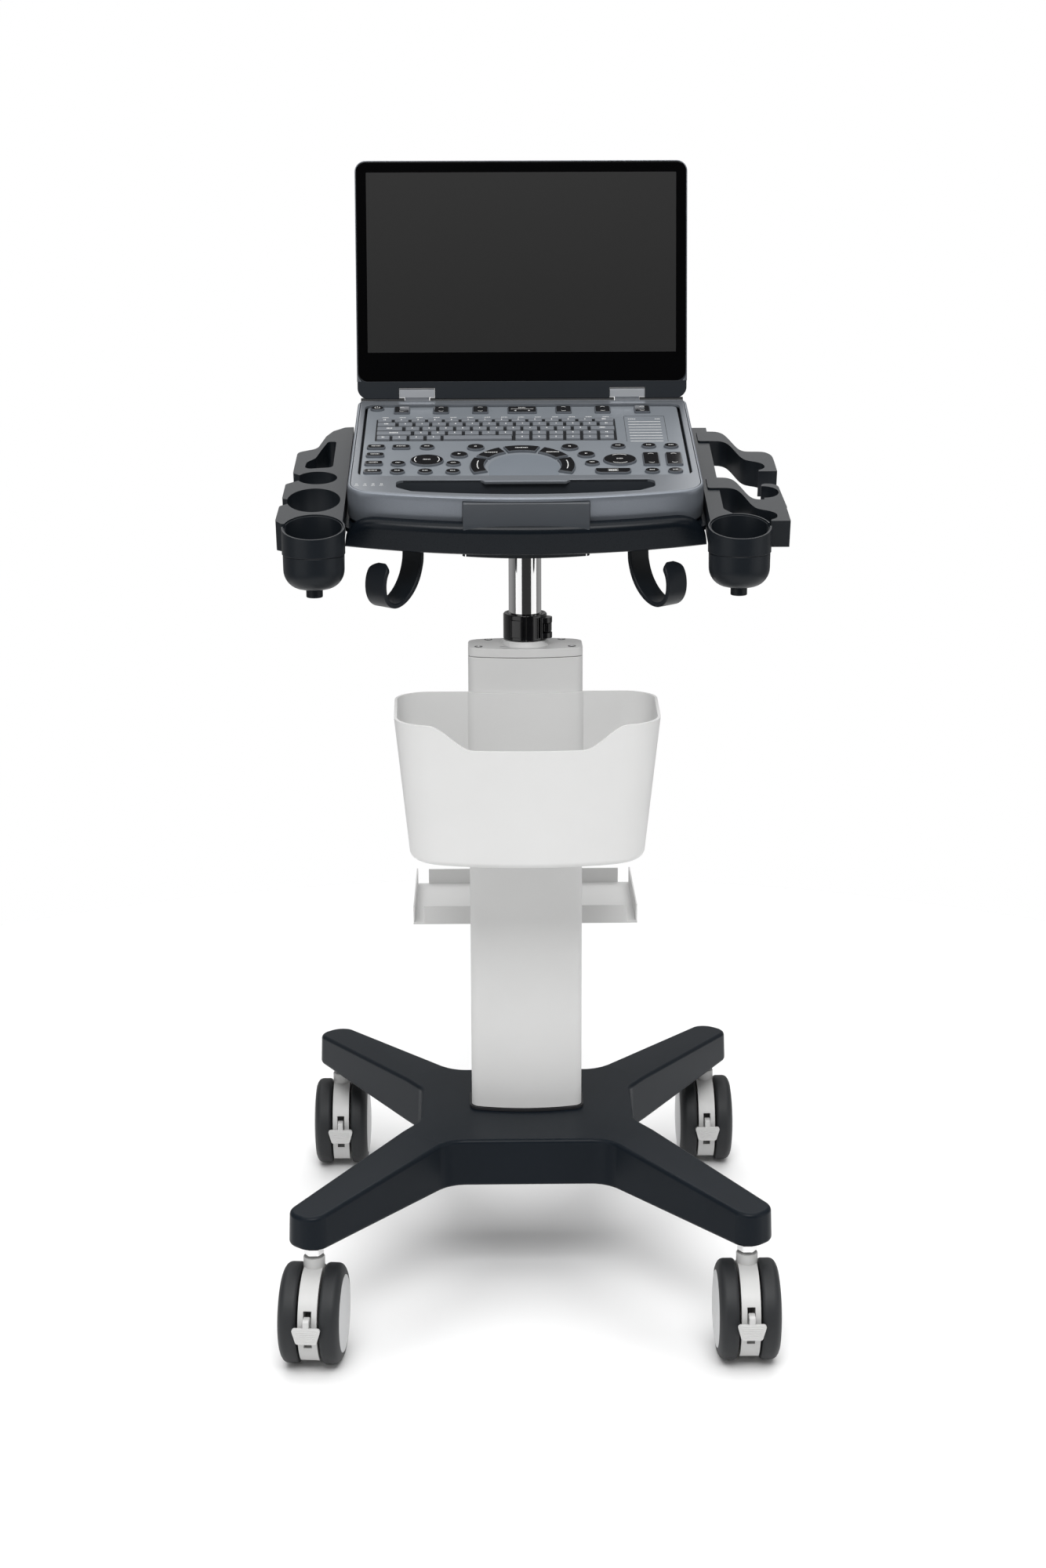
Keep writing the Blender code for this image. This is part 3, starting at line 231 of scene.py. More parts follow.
def rounded(corners, steps=10):
    """A closed outline from corners (x, y, radius), each rounded with an arc."""
    points = []
    count = len(corners)
    for k, (x, y, radius) in enumerate(corners):
        if radius <= 0:
            points.append((x, y))
            continue
        here = Vector((x, y))
        before = (Vector(corners[k - 1][:2]) - here).normalized()
        after = (Vector(corners[(k + 1) % count][:2]) - here).normalized()
        half = before.angle(after) / 2
        center = here + (before + after).normalized() * (radius / sin(half))
        reach = radius * cos(half) / sin(half)
        first = here + before * reach - center
        last = here + after * reach - center
        turn = atan2(first.x * last.y - first.y * last.x, first.dot(last))
        for step in range(steps + 1):
            spoke = Matrix.Rotation(turn * step / steps, 2) @ first
            points.append((center.x + spoke.x, center.y + spoke.y))
    return points


def rectangle(x0, y0, x1, y1, radius=0.0, steps=8):
    return rounded([(x0, y0, radius), (x1, y0, radius), (x1, y1, radius), (x0, y1, radius)], steps)


def bow(x, half, height):
    return height * (1 - (x / half) ** 2)


def bowed_edge(half, edge, height, reach, steps):
    points = []
    for k in range(steps + 1):
        x = (half - reach) * (2 * k / steps - 1)
        points.append((x, edge + bow(x, half, height), 0))
    return points


def bowed_outline(half_rear, half_front, rear, front, rear_bow, front_bow, radii, steps=28):
    """Rear and front faces bow outwards by the given heights; radii is (rear, front)."""
    corners = [(-half_front, front, radii[1])]
    corners += bowed_edge(half_front, front, -front_bow, 1.05 * radii[1], steps)
    corners += [(half_front, front, radii[1]), (half_rear, rear, radii[0])]
    if rear_bow > 0:
        corners += reversed(bowed_edge(half_rear, rear, rear_bow, 1.05 * radii[0], steps))
    corners.append((-half_rear, rear, radii[0]))
    return rounded(corners)


# ---- meshes
def add_loft(bm, rings):
    """Solid through rings of equal length, capped at both ends."""
    rows = [[bm.verts.new(point) for point in ring] for ring in rings]
    count = len(rows[0])
    for low, high in zip(rows, rows[1:]):
        for k in range(count):
            after = (k + 1) % count
            bm.faces.new((low[k], low[after], high[after], high[k]))
    bm.faces.new(rows[0][::-1])
    bm.faces.new(rows[-1])


def loft(rings):
    bm = bmesh.new()
    add_loft(bm, rings)
    return bm


def stacked(levels):
    """Rings from (outline, height) pairs."""
    return [[(x, y, height) for x, y in outline] for outline, height in levels]


def prism(outline, low, high):
    return loft(stacked([(outline, low), (outline, high)]))


def prism_x(outline, low, high):
    return loft([[(x, y, z) for y, z in outline] for x in (low, high)])


def prism_y(outline, low, high):
    return loft([[(x, y, z) for x, z in outline] for y in (low, high)])


def box(x0, x1, y0, y1, z0, z1):
    return prism([(x0, y0), (x1, y0), (x1, y1), (x0, y1)], z0, z1)


def mirrored_boxes(inner, outer, *spans):
    """Two boxes that mirror each other in X."""
    return [box(*sorted((side * inner, side * outer)), *spans) for side in (-1, 1)]


def lathe(profile, segments=96, axis="Z", closed=False):
    """Turn a profile of (radius, height); an open one starts and ends on the axis."""
    bm = bmesh.new()
    rows = []
    for radius, height in profile:
        if radius < 1e-7:
            rows.append([bm.verts.new((0, 0, height))])
            continue
        rows.append([
            bm.verts.new((radius * cos(2 * pi * k / segments), radius * sin(2 * pi * k / segments), height))
            for k in range(segments)
        ])
    pairs = list(zip(rows, rows[1:]))
    if closed:
        pairs.append((rows[-1], rows[0]))
    for first, second in pairs:
        for k in range(segments):
            after = (k + 1) % segments
            corners = [first[k % len(first)], first[after % len(first)]]
            corners += [second[after % len(second)], second[k % len(second)]]
            unique = list(dict.fromkeys(corners))
            if len(unique) > 2:
                bm.faces.new(unique)
    if axis == "X":
        bmesh.ops.rotate(bm, matrix=Matrix.Rotation(pi / 2, 3, "Y"), verts=bm.verts)
    return bm


def cylinder(radius, low, high, segments=64, axis="Z"):
    return lathe([(0, low), (radius, low), (radius, high), (0, high)], segments, axis)


def to_object(name, bm, material, matrix=Matrix()):
    bmesh.ops.remove_doubles(bm, verts=bm.verts, dist=1e-6)
    bmesh.ops.recalc_face_normals(bm, faces=bm.faces)
    mesh = bpy.data.meshes.new(name)
    bm.to_mesh(mesh)
    bm.free()
    item = bpy.data.objects.new(name, mesh)
    if material:
        mesh.materials.append(material)
    item.matrix_world = matrix
    bpy.context.scene.collection.objects.link(item)
    return item


def piece(name, bm, material, body, matrix=Matrix(), stands_for=(), tools=(), edge=0.0, segments=3):
    """A visible piece: its mesh, its Boolean tools, its edge rounding and the body it rides on."""
    item = to_object(name, bm, material, matrix)
    for kind, tool_mesh, tool_matrix in tools:
        apply_tool(item, kind, tool_mesh, tool_matrix)
    if edge > 0:
        add_bevel(item, edge, segments)
    level_normals(item)
    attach(item, body)
    if stands_for:
        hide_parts(*stands_for)
    return item


def deck_piece(name, bm, material, **finish):
    """A piece drawn in the tilted deck frame that rides on the carriage."""
    return piece(name, bm, material, "carriage", DECK, **finish)


def cut(mesh, matrix=Matrix()):
    return "DIFFERENCE", mesh, matrix


def joined(mesh, matrix=Matrix()):
    return "UNION", mesh, matrix


def carved(bm, kind, tool_mesh):
    """A mesh after one Boolean step, to be used as a tool itself."""
    item = to_object("carved", bm, None)
    apply_tool(item, kind, tool_mesh, Matrix())
    result = bmesh.new()
    result.from_mesh(item.data)
    bpy.data.objects.remove(item, do_unlink=True)
    return result


def apply_tool(item, kind, tool_mesh, tool_matrix):
    """Join, cut or intersect the item with a mesh and keep only the result."""
    material = item.data.materials[0] if item.data.materials else None
    tool = to_object("tool", tool_mesh, material, tool_matrix)
    modifier = item.modifiers.new("shape", "BOOLEAN")
    modifier.object = tool
    modifier.operation = kind
    modifier.solver = "EXACT"
    bake_modifiers(item)
    bpy.data.objects.remove(tool, do_unlink=True)


def bake_modifiers(item):
    graph = bpy.context.evaluated_depsgraph_get()
    mesh = bpy.data.meshes.new_from_object(item.evaluated_get(graph), depsgraph=graph)
    item.modifiers.clear()
    item.data = mesh


def add_bevel(item, width, segments):
    modifier = item.modifiers.new("edge round", "BEVEL")
    modifier.width = width
    modifier.segments = segments
    modifier.limit_method = "ANGLE"
    modifier.angle_limit = radians(38)
    bake_modifiers(item)


def level_normals(item):
    """Smooth the rounded edges while the flat faces beside them stay flat."""
    item.data.shade_smooth()
    item.data.set_sharp_from_angle(angle=radians(40))
    modifier = item.modifiers.new("normals", "WEIGHTED_NORMAL")
    modifier.mode = "FACE_AREA"
    modifier.weight = 80
    modifier.keep_sharp = True
    bake_modifiers(item)


# ---- base and casters
def base_corners():
    """X-shaped plan with rounded notches between the four legs, counter-clockwise."""
    tip = Vector((CASTER_X, CASTER_Y))
    along = tip.normalized()
    across = Vector((-along.y, along.x)) * LEG_TIP_RADIUS
    end = tip + along * LEG_TIP_RADIUS
    side_a, side_b = end - across, end + across
    radius = LEG_TIP_RADIUS - 0.002
    quadrant = [(0.121, 0.047, 0.03), (side_a.x, side_a.y, radius)]
    quadrant += [(side_b.x, side_b.y, radius), (0.085, 0.1105, 0.035)]
    corners = list(quadrant)
    corners += [(-x, y, r) for x, y, r in reversed(quadrant)]
    corners += [(-x, -y, r) for x, y, r in quadrant]
    corners += [(x, -y, r) for x, y, r in reversed(quadrant)]
    return corners


def inset_corners(corners, distance):
    """Move every side of a counter-clockwise outline inwards by the same distance."""
    result = []
    count = len(corners)
    for k, (x, y, radius) in enumerate(corners):
        here = Vector((x, y))
        before = (here - Vector(corners[k - 1][:2])).normalized()
        after = (Vector(corners[(k + 1) % count][:2]) - here).normalized()
        inwards = Vector((-before.y - after.y, before.x + after.x))
        moved = here + inwards * distance / (1 + before.dot(after))
        turns_left = before.x * after.y > before.y * after.x
        result.append((moved.x, moved.y, radius - distance if turns_left else radius + distance))
    return result


def make_base(mats):
    rings = []
    for distance, z in ((0, LEG_BOTTOM), (DRAFT, BASE_TOP)):
        outline = rounded(inset_corners(base_corners(), distance), 12)
        rings.append([(x, y + BASE_Y, z) for x, y in outline])
    run = sqrt(CASTER_X ** 2 + CASTER_Y ** 2) - LEG_SLOPE_START
    slabs = ((BASE_TOP, LEG_TIP_TOP, 0, 0.05), (LEG_BOTTOM, LEG_TIP_BOTTOM, -0.05, 0))
    tools = []
    for x, y, _ in CASTERS.values():
        heading = atan2(y - BASE_Y, x)
        for height, tip_height, low, high in slabs:
            start = Vector((LEG_SLOPE_START * cos(heading), BASE_Y + LEG_SLOPE_START * sin(heading), height))
            turn = Matrix.Rotation(heading, 4, "Z") @ Matrix.Rotation(atan2(height - tip_height, run), 4, "Y")
            slab = box(0, 0.3, -0.1, 0.1, low, high)
            tools.append(cut(slab, Matrix.Translation(start) @ turn))
    piece("base_casting", loft(rings), mats["base_paint"], "trolley",
          stands_for=("base_frame",), tools=tools, edge=0.0042, segments=4)


def tyre_mesh():
    """Soft tread with rounded shoulders, from the inner face out to the groove round the disc."""
    profile = [(0.0044, 0.0118), (0.0484, 0.0118), (0.05, 0.0122), (0.0511, 0.0134), (0.0517, 0.0152)]
    profile += [(0.0517, 0.0235), (0.0514, 0.0253), (0.0507, 0.027), (0.0494, 0.0286), (0.047, 0.0302)]
    profile += [(0.044, 0.0314), (0.0415, 0.0318), (0.0403, 0.0316), (0.0401, 0.03), (0.0044, 0.03)]
    return lathe(profile, 112, axis="X", closed=True)


def disc_mesh():
    profile = [(0, 0.0298), (0.0399, 0.0298), (0.0399, 0.0313), (0.0394, 0.0319), (0.0384, 0.0323)]
    profile += [(0.0376, 0.0322), (0.0372, 0.032), (0.0367, 0.0323), (0.03, 0.0334), (0.02, 0.0342)]
    profile += [(0.011, 0.0346), (0, 0.0348)]
    return lathe(profile, 96, axis="X")


def housing_outline():
    floor = -0.0377
    start = atan2(floor, sqrt(0.0495 ** 2 - floor ** 2)) * 180 / pi
    return arc((0, 0), 0.0495, start, 180 - start, 60)


def make_caster(mats, name, x, y, yaw):
    foot = Matrix.Translation((x, y, 0))
    swivel = foot @ Matrix.Rotation(radians(yaw), 4, "Z")
    axle = swivel @ Matrix.Translation((0, -TRAIL, WHEEL_RADIUS))
    nut = [(0, 0.1135), (0.0085, 0.1135), (0.0103, 0.1145), (0.0103, 0.1215), (0.0088, 0.1228), (0, 0.1228)]
    piece(name + "_swivel_stem", cylinder(0.006, 0.101, 0.1455, 40), mats["steel"], "trolley", foot,
          stands_for=(name + "_stem",))
    piece(name + "_swivel_nut", lathe(nut, 6), mats["chrome"], "trolley", foot, edge=0.0005, segments=2)

    neck = [(0, 0.09), (0.011, 0.09), (0.0112, 0.111), (0.0104, 0.1121), (0, 0.1121)]
    slot = box(-0.0042, 0.0042, -0.06, -0.021, -0.017, 0.0225)
    tools = [joined(lathe(neck, 64), swivel), cut(slot, axle)]
    piece(name + "_fork", prism_x(housing_outline(), -0.0098, 0.0098), mats["caster"], name + "_swivel", axle,
          stands_for=(name + "_housing",), tools=tools, edge=0.0007, segments=2)
    for side in (1, -1):
        side_name = "right" if side > 0 else "left"
        for kind, mesh in (("tyre", tyre_mesh()), ("disc", disc_mesh())):
            bmesh.ops.scale(mesh, vec=(side, 1, 1), verts=mesh.verts)
            stands = (name + "_wheel_" + side_name,) if kind == "tyre" else ()
            wheel = name + "_" + side_name
            piece(wheel + "_" + kind, mesh, mats[kind], wheel + "_wheel", axle, stands_for=stands)
    make_pedal(mats, name, axle)


def make_pedal(mats, name, axle):
    """Ribbed brake pedal on a short arm that comes out of the fork's slot."""
    pivot = axle @ Matrix.Translation((0, -0.03, -0.0017))
    arm = [(0.004, -0.005), (0.004, 0.006), (-0.018, 0.02), (-0.0255, 0.02), (-0.028, 0.018)]
    arm += [(-0.0284, 0.004), (-0.0245, 0.004), (-0.023, 0.0155), (-0.017, 0.0155), (-0.004, -0.005)]
    plate = rounded([(-0.0154, 0.0112, 0.0028), (-0.0106, -0.006, 0.003), (0.0106, -0.006, 0.003),
                     (0.0154, 0.0112, 0.0028)], 6)
    body = name + "_brake"
    piece(name + "_brake_arm", prism_x(arm, -0.0031, 0.0031), mats["caster"], body, pivot,
          stands_for=(name + "_pedal",), edge=0.0006, segments=2)
    piece(name + "_brake_plate", prism_y(plate, -0.0286, -0.0246), mats["caster"], body, pivot,
          edge=0.0007, segments=3)
    ribs = bmesh.new()
    for k in range(6):
        z = 0.0078 - 0.002 * k
        half = 0.0108 - 0.00055 * k
        section = [(-0.0285, z + 0.0005), (-0.029, z), (-0.0285, z - 0.0005)]
        add_loft(ribs, [[(x, y, height) for y, height in section] for x in (-half, half)])
    piece(name + "_pedal_ribs", ribs, mats["caster"], body, pivot)


# ---- column, lift and clamp
def column_outline(extra=0.0):
    radii = (0.014 + extra, 0.011 + extra)
    edge = 0.0236 + extra
    outline = bowed_outline(0.0616 + extra, 0.0616 + extra, edge, -edge, 0.0095, 0.0095, radii)
    return [(x, y + COLUMN_Y) for x, y in outline]


def make_column(mats):
    outline = column_outline()
    piece("column_extrusion", prism(outline, 0.1768, 0.69), mats["white"], "trolley",
          stands_for=("column",), edge=0.0004, segments=1)
    bore = cylinder(TUBE_BORE, 0.68, 0.72, 80)
    flange = [(0, 0.697), (0.0262, 0.697), (0.0262, 0.7012), (0.025, 0.703), (0.0236, 0.7056), (0, 0.7056)]
    at = Matrix.Translation((0, COLUMN_Y, 0))
    piece("column_cap_shell", prism(outline, 0.6906, 0.7), mats["white"], "trolley",
          stands_for=("column_cap",), tools=[joined(lathe(flange), at), cut(bore, at)], edge=0.0009)
    screws = ((-0.0399, 0.042), (-0.0503, 0.003), (0.0399, 0.042), (0.05, 0.003))
    for k, (x, y) in enumerate(screws):
        place = Matrix.Translation((x, y, 0))
        head = [(0, 0.7004), (0.0012, 0.7004), (0.0013, 0.7007), (0.0029, 0.7005), (0.0033, 0.7), (0, 0.7)]
        piece("cap_screw_%d" % k, lathe(head, 40), mats["steel"], "trolley", place)
        # A thin near-black ring round each screw head: painted shade for the recess around it
        recess_shade = [(0.0033, 0.69995), (0.0033, 0.70025), (0.0043, 0.70025), (0.0043, 0.69995)]
        piece("cap_recess_%d" % k, lathe(recess_shade, 40, closed=True), mats["cavity"], "trolley", place)
    plug = prism(ellipse((-0.0217, 0.001), 0.0062, 0.0042, 40), 0.6999, 0.7003)
    piece("cap_plug", plug, mats["disc"], "trolley")

    tube = [(0.0176, 0.5), (0.0176, 0.8395), (0.0151, 0.8395), (0.0151, 0.5)]
    piece("chrome_tube", lathe(tube, 120, closed=True), mats["chrome"], "carriage", at,
          stands_for=("lift_tube",))


def make_clamp(mats):
    """Split collar with a raised pad, two ear discs, two pins and the lever."""
    at = Matrix.Translation((0, COLUMN_Y, 0))
    ring = [(TUBE_BORE, 0.7062), (0.0228, 0.7062), (0.0235, 0.707), (0.0235, 0.7328), (0.0226, 0.734)]
    ring += [(0.0205, 0.734), (0.0198, 0.7332), (TUBE_BORE, 0.7326)]
    ear = prism(ellipse((0.0205, -0.0105), 0.0085, 0.0085, 64), 0.7088, 0.7312)
    outside = lathe([(TUBE_BORE, 0.7), (TUBE_BORE, 0.74), (0.04, 0.74), (0.04, 0.7)], 96, closed=True)
    ear = carved(ear, "INTERSECT", outside)
    slit = box(0.0006, 0.0014, -0.04, -0.01, 0.7, 0.74)
    notch = box(0.017, 0.04, -0.023, 0.001, 0.7145, 0.7255)
    tools = [joined(ear, at), cut(slit, at), cut(notch, at)]
    piece("clamp_ring", lathe(ring, 96, closed=True), mats["black"], "trolley", at,
          stands_for=("clamp_collar",), tools=tools, edge=0.0005, segments=2)
    pad = [(0.0234 * sin(radians(a)), -0.0234 * cos(radians(a))) for a in range(-42, -4, 4)]
    pad += [(0.025 * sin(radians(a)), -0.025 * cos(radians(a))) for a in range(-6, -42, -4)]
    piece("clamp_pad", prism(pad, 0.71, 0.729), mats["black"], "trolley", at, edge=0.0006, segments=2)
    for k, (x, y) in enumerate(((0.0128, -0.0196), (0.0172, -0.0178))):
        pin = cylinder(0.0016, 0.709, 0.731, 24)
        piece("clamp_pin_%d" % k, pin, mats["black"], "trolley", Matrix.Translation((x, COLUMN_Y + y, 0)))
    lever = [(-0.004, -0.002), (-0.002, -0.0042), (0.003, -0.0042), (0.0056, -0.001), (0.0064, 0.005)]
    lever += [(0.0062, 0.018), (0.004, 0.028), (0.0012, 0.033), (-0.001, 0.032), (0.0018, 0.025)]
    lever += [(0.003, 0.017), (0.003, 0.008), (-0.001, 0.0035)]
    piece("clamp_handle", prism(lever, 0.715, 0.725), mats["black"], "clamp",
          Matrix.Translation((0.0222, COLUMN_Y - 0.0125, 0)), stands_for=("clamp_lever",), edge=0.001)


# ---- basket and shelf
def basket_outline(level, inset):
    half = 0.126 + 0.0145 * level - inset
    corner = -0.15 - 0.03 * level + inset
    radii = (0.036 - inset, 0.046 - inset)
    outline = bowed_outline(half, half - 0.004, -0.0215 - inset, corner, 0, 0.019, radii)
    return [(x, y + COLUMN_Y) for x, y in outline]


def basket_solid(levels):
    low, rise = 0.494, 0.158
    return loft(stacked([(basket_outline(level, inset), low + rise * level) for level, inset in levels]))


def smooth_step(value):
    value = min(1.0, max(0.0, value))
    return value * value * (3 - 2 * value)


def make_basket(mats):
    inner = [(0.02, 0.01), (0.03, 0.006), (0.06, 0.0035), (0.1, 0.003), (0.55, 0.003), (1.05, 0.003)]
    hollow = carved(basket_solid(inner), "DIFFERENCE", prism(column_outline(0.0035), 0.48, 0.69))
    dip = []
    for k in range(61):
        x = -0.112 + 0.224 * k / 60
        depth = 0.0258 * (1 - smooth_step((abs(x) - 0.055) / 0.047))
        dip.append((x, 0.652 - depth + 0.00002))
    dip += [(0.112, 0.69), (-0.112, 0.69)]
    tools = [
        cut(hollow),
        cut(prism(column_outline(0.0005), 0.47, 0.69)),
        cut(prism_y(dip, -0.26, -0.1)),
    ]
    outer = [(0, 0.0105), (0.004, 0.0065), (0.012, 0.0032), (0.025, 0.0012), (0.05, 0), (0.5, 0), (1, 0)]
    piece("basket_shell", basket_solid(outer), mats["basket"], "trolley", stands_for=("basket",), tools=tools,
          edge=0.0009, segments=2)


def make_shelf(mats):
    """Folded sheet tray with open corners."""
    front, rear, low, sheet = 0.0538, 0.2108, 0.372, 0.0015
    half, top = 0.126, 0.393
    floor = box(-half, half, front, rear, low, low + sheet)
    walls = [
        box(-0.114, 0.114, front, front + sheet, low, top),
        box(-0.112, 0.112, rear - sheet, rear, low, top - 0.002),
        box(-half, -half + sheet, front + 0.004, rear - 0.004, low, top),
        box(half - sheet, half, front + 0.004, rear - 0.004, low, top),
    ]
    tools = [joined(wall) for wall in walls]
    piece("shelf_tray", floor, mats["white"], "trolley", stands_for=("rear_shelf",), tools=tools,
          edge=0.0006, segments=2)


# ---- platform
def lip_rings():
    """Cross-sections of the platform's front wall, which bows out and rounds down at its ends."""
    half, corner, drop = PLATFORM_HALF, 0.034, 0.029
    rings = []
    count = 72
    for k in range(count + 1):
        x = -half * cos(pi * k / count)
        ratio = max(0.0, (abs(x) - (half - corner)) / corner)
        top = -0.025 - drop * (1 - sqrt(max(0.0, 1 - ratio * ratio)))
        front = -0.275 - bow(x, half, PLATFORM_BULGE)
        low = -0.057
        edge = min(0.009, (top - low) * 0.45)
        section = [(front + 0.012, low), (front + 0.0015, low), (front, low + min(0.0015, edge * 0.3))]
        for step in range(9):
            angle = radians(90 * step / 8)
            section.append((front + edge * (1 - cos(angle)), top - edge * (1 - sin(angle))))
        section.append((front + 0.012, top))
        rings.append([(x, y, z) for y, z in section])
    return rings


def make_platform(mats):
    half = PLATFORM_HALF
    plan = bowed_outline(half, half, -0.012, -PLATFORM_SIDE, 0, PLATFORM_BULGE, (0.02, 0.01))
    lug = [(-0.2795, -0.0045), (-0.285, -0.0045), (-0.2866, -0.0056), (-0.2946, -0.024), (-0.2962, -0.03)]
    lug += [(-0.2962, -0.042), (-0.2795, -0.042)]
    tools = [joined(loft(lip_rings()), DECK)]
    deck_piece("platform_tray", prism(plan, -0.0435, -0.0385), mats["tray"],
               stands_for=("platform",), tools=tools, edge=0.0012, segments=2)
    # The lug takes the lighter pocket grey instead of the tray paint: a painted highlight for its lit top and
    # face
    deck_piece("platform_lug", prism_x(lug, -LUG_HALF, LUG_HALF), mats["pocket"], edge=0.0009, segments=2)

    block = bowed_outline(0.066, 0.066, -0.125, -0.276, 0, 0.006, (0.006, 0.003))
    at = Matrix.Translation((0, COLUMN_Y, 0))
    tools = [joined(cylinder(0.026, 0.8, 0.845, 72), at), cut(cylinder(TUBE_BORE, 0.79, 0.8403, 80), at)]
    tools += [cut(groove, DECK) for groove in mirrored_boxes(0.0622, 0.0632, -0.3, -0.262, -0.08, -0.05)]
    deck_piece("platform_bracket", prism(block, -0.068, -0.0438), mats["slate"],
               stands_for=("platform_mount",), tools=tools, edge=0.0007, segments=2)


# ---- holders
def level_top(bm, level, marker=0.95):
    """Bring the top of an upright gel cup part onto a plane parallel to the deck."""
    for vertex in bm.verts:
        if vertex.co.z > marker:
            behind = vertex.co.y + CUP_Y - DECK_Y
            vertex.co.z = DECK_Z + level / cos(TILT) + behind * sin(TILT) / cos(TILT)


def cup_at(side):
    return Matrix.Translation((side * CUP_X, CUP_Y, 0))


def collar_mesh(level):
    bm = lathe([(0, 0.8195), (0.0315, 0.8195), (0.0322, 0.8205), (0.0322, 1.0), (0, 1.0)], 112)
    level_top(bm, level - 0.0002)
    return bm


def below_cups():
    return box(-0.045, 0.045, -0.06, 0.034, 0.7, 0.8203)


def cable_slot(side):
    x0, x1 = sorted((side * 0.022, side * 0.06))
    plan = rectangle(x0, 0.0005, x1, 0.0075, 0.0)
    return prism(plan, 0.823, 0.9)


def make_gel_cup(mats, name, side, level):
    """Thin-walled cup with a rounded bottom and a short drain boss."""
    low = 0.784
    profile = [(0, low - 0.0085), (0.0078, low - 0.0085), (0.0085, low - 0.0078), (0.0085, low + 0.0004)]
    for step in range(11):
        angle = radians(90 * step / 10)
        profile.append((0.012 + 0.0192 * sin(angle), low + 0.0205 - 0.02 * cos(angle)))
    profile += [(0.0314, 0.8188), (0.031, 0.8192), (0.0303, 0.8193), (0.0303, 1.0), (0.0291, 1.0)]
    profile += [(0.0291, low + 0.024), (0.0275, low + 0.013), (0.0215, low + 0.006), (0, low + 0.004)]
    bm = lathe(profile, 112)
    level_top(bm, level)
    piece(name + "_shell", bm, mats["holder"], "carriage", cup_at(side), stands_for=(name,),
          tools=[cut(cable_slot(side), cup_at(side))], edge=0.0005, segments=2)


def cup_seat(side, level):
    """Tools that clear the space round a gel cup and put the cup's collar there."""
    at = cup_at(side)
    return [cut(below_cups(), at), joined(collar_mesh(level), at)]


def cup_openings(side):
    at = cup_at(side)
    return [cut(cable_slot(side), at), cut(cylinder(0.0306, 0.7, 0.95, 96), at)]


def make_left_holder(mats):
    plan = [(-RAIL_INNER, -0.036, 0), (-0.197, -0.037, 0.006), (-0.2096, -0.0485, 0.006)]
    plan += [(-0.2165, -0.064, 0.01), (-0.224, -0.1, 0.014), (-0.245, -0.111, 0.01)]
    plan += [(-0.2462, -0.17, 0.005), (-0.238, -0.177, 0.002), (-0.238, -0.19, 0.002)]
    plan += [(-0.252, -0.201, 0.005), (-0.253, -0.24, 0.004), (-0.244, -0.243, 0.002)]
    plan += [(-0.244, -0.252, 0.002), (-0.2545, -0.26, 0.005), (-0.256, -0.298, 0.006)]
    plan += [(-0.24, -0.318, 0.008), (-RAIL_INNER, -0.318, 0.006)]
    pocket = [(-0.235, -0.159, 0.006), (-0.2335, -0.14, 0.008), (-0.2245, -0.128, 0.012)]
    pocket += [(-0.2185, -0.1, 0.012), (-0.2135, -0.08, 0.004), (-0.2045, -0.08, 0.003)]
    pocket += [(-0.2045, -0.154, 0.006)]
    deep, high = HOLDER_BOTTOM - 0.01, HOLDER_TOP + 0.01
    openings = (
        rounded(pocket, 6),
        ellipse((-0.2197, -0.184), 0.0212, 0.0175),
        ellipse((-0.2199, -0.2446), 0.0276, 0.0315),
    )
    tools = cup_seat(-1, HOLDER_TOP)
    tools += [cut(prism(outline, deep, high), DECK) for outline in openings]
    tools += cup_openings(-1)
    deck_piece("probe_holder", prism(rounded(plan, 6), HOLDER_BOTTOM, HOLDER_TOP), mats["holder"],
               stands_for=("left_holder",), tools=tools, edge=0.0012)


ARM_POINTS = [
    (0.204, -0.056), (0.2133, -0.0563), (0.22, -0.0625), (0.224, -0.074), (0.2275, -0.088),
    (0.232, -0.106), (0.2365, -0.114), (0.242, -0.1163), (0.256, -0.1163), (0.262, -0.1185),
    (0.2665, -0.125), (0.2685, -0.133), (0.269, -0.1725), (0.2492, -0.1725), (0.2492, -0.169),
    (0.2555, -0.165), (0.2572, -0.159), (0.256, -0.152), (0.25, -0.1465), (0.242, -0.143),
    (0.237, -0.1395), (0.233, -0.131), (0.23, -0.119), (0.226, -0.102), (0.2215, -0.09),
    (0.215, -0.085), (0.204, -0.0845),
]
SHARP_ARM_POINTS = (0, 12, 13, 26)


def softened(points, keep, rounds=2):
    """Cut the corners of an outline again and again, except those that stay sharp."""
    marked = [(point, k in keep) for k, point in enumerate(points)]
    for _ in range(rounds):
        result = []
        count = len(marked)
        for k, (point, sharp) in enumerate(marked):
            if sharp:
                result.append((point, True))
                continue
            before, after = marked[k - 1][0], marked[(k + 1) % count][0]
            result.append(((0.25 * before[0] + 0.75 * point[0], 0.25 * before[1] + 0.75 * point[1]), False))
            result.append(((0.25 * after[0] + 0.75 * point[0], 0.25 * after[1] + 0.75 * point[1]), False))
        marked = result
    return [point for point, _ in marked]


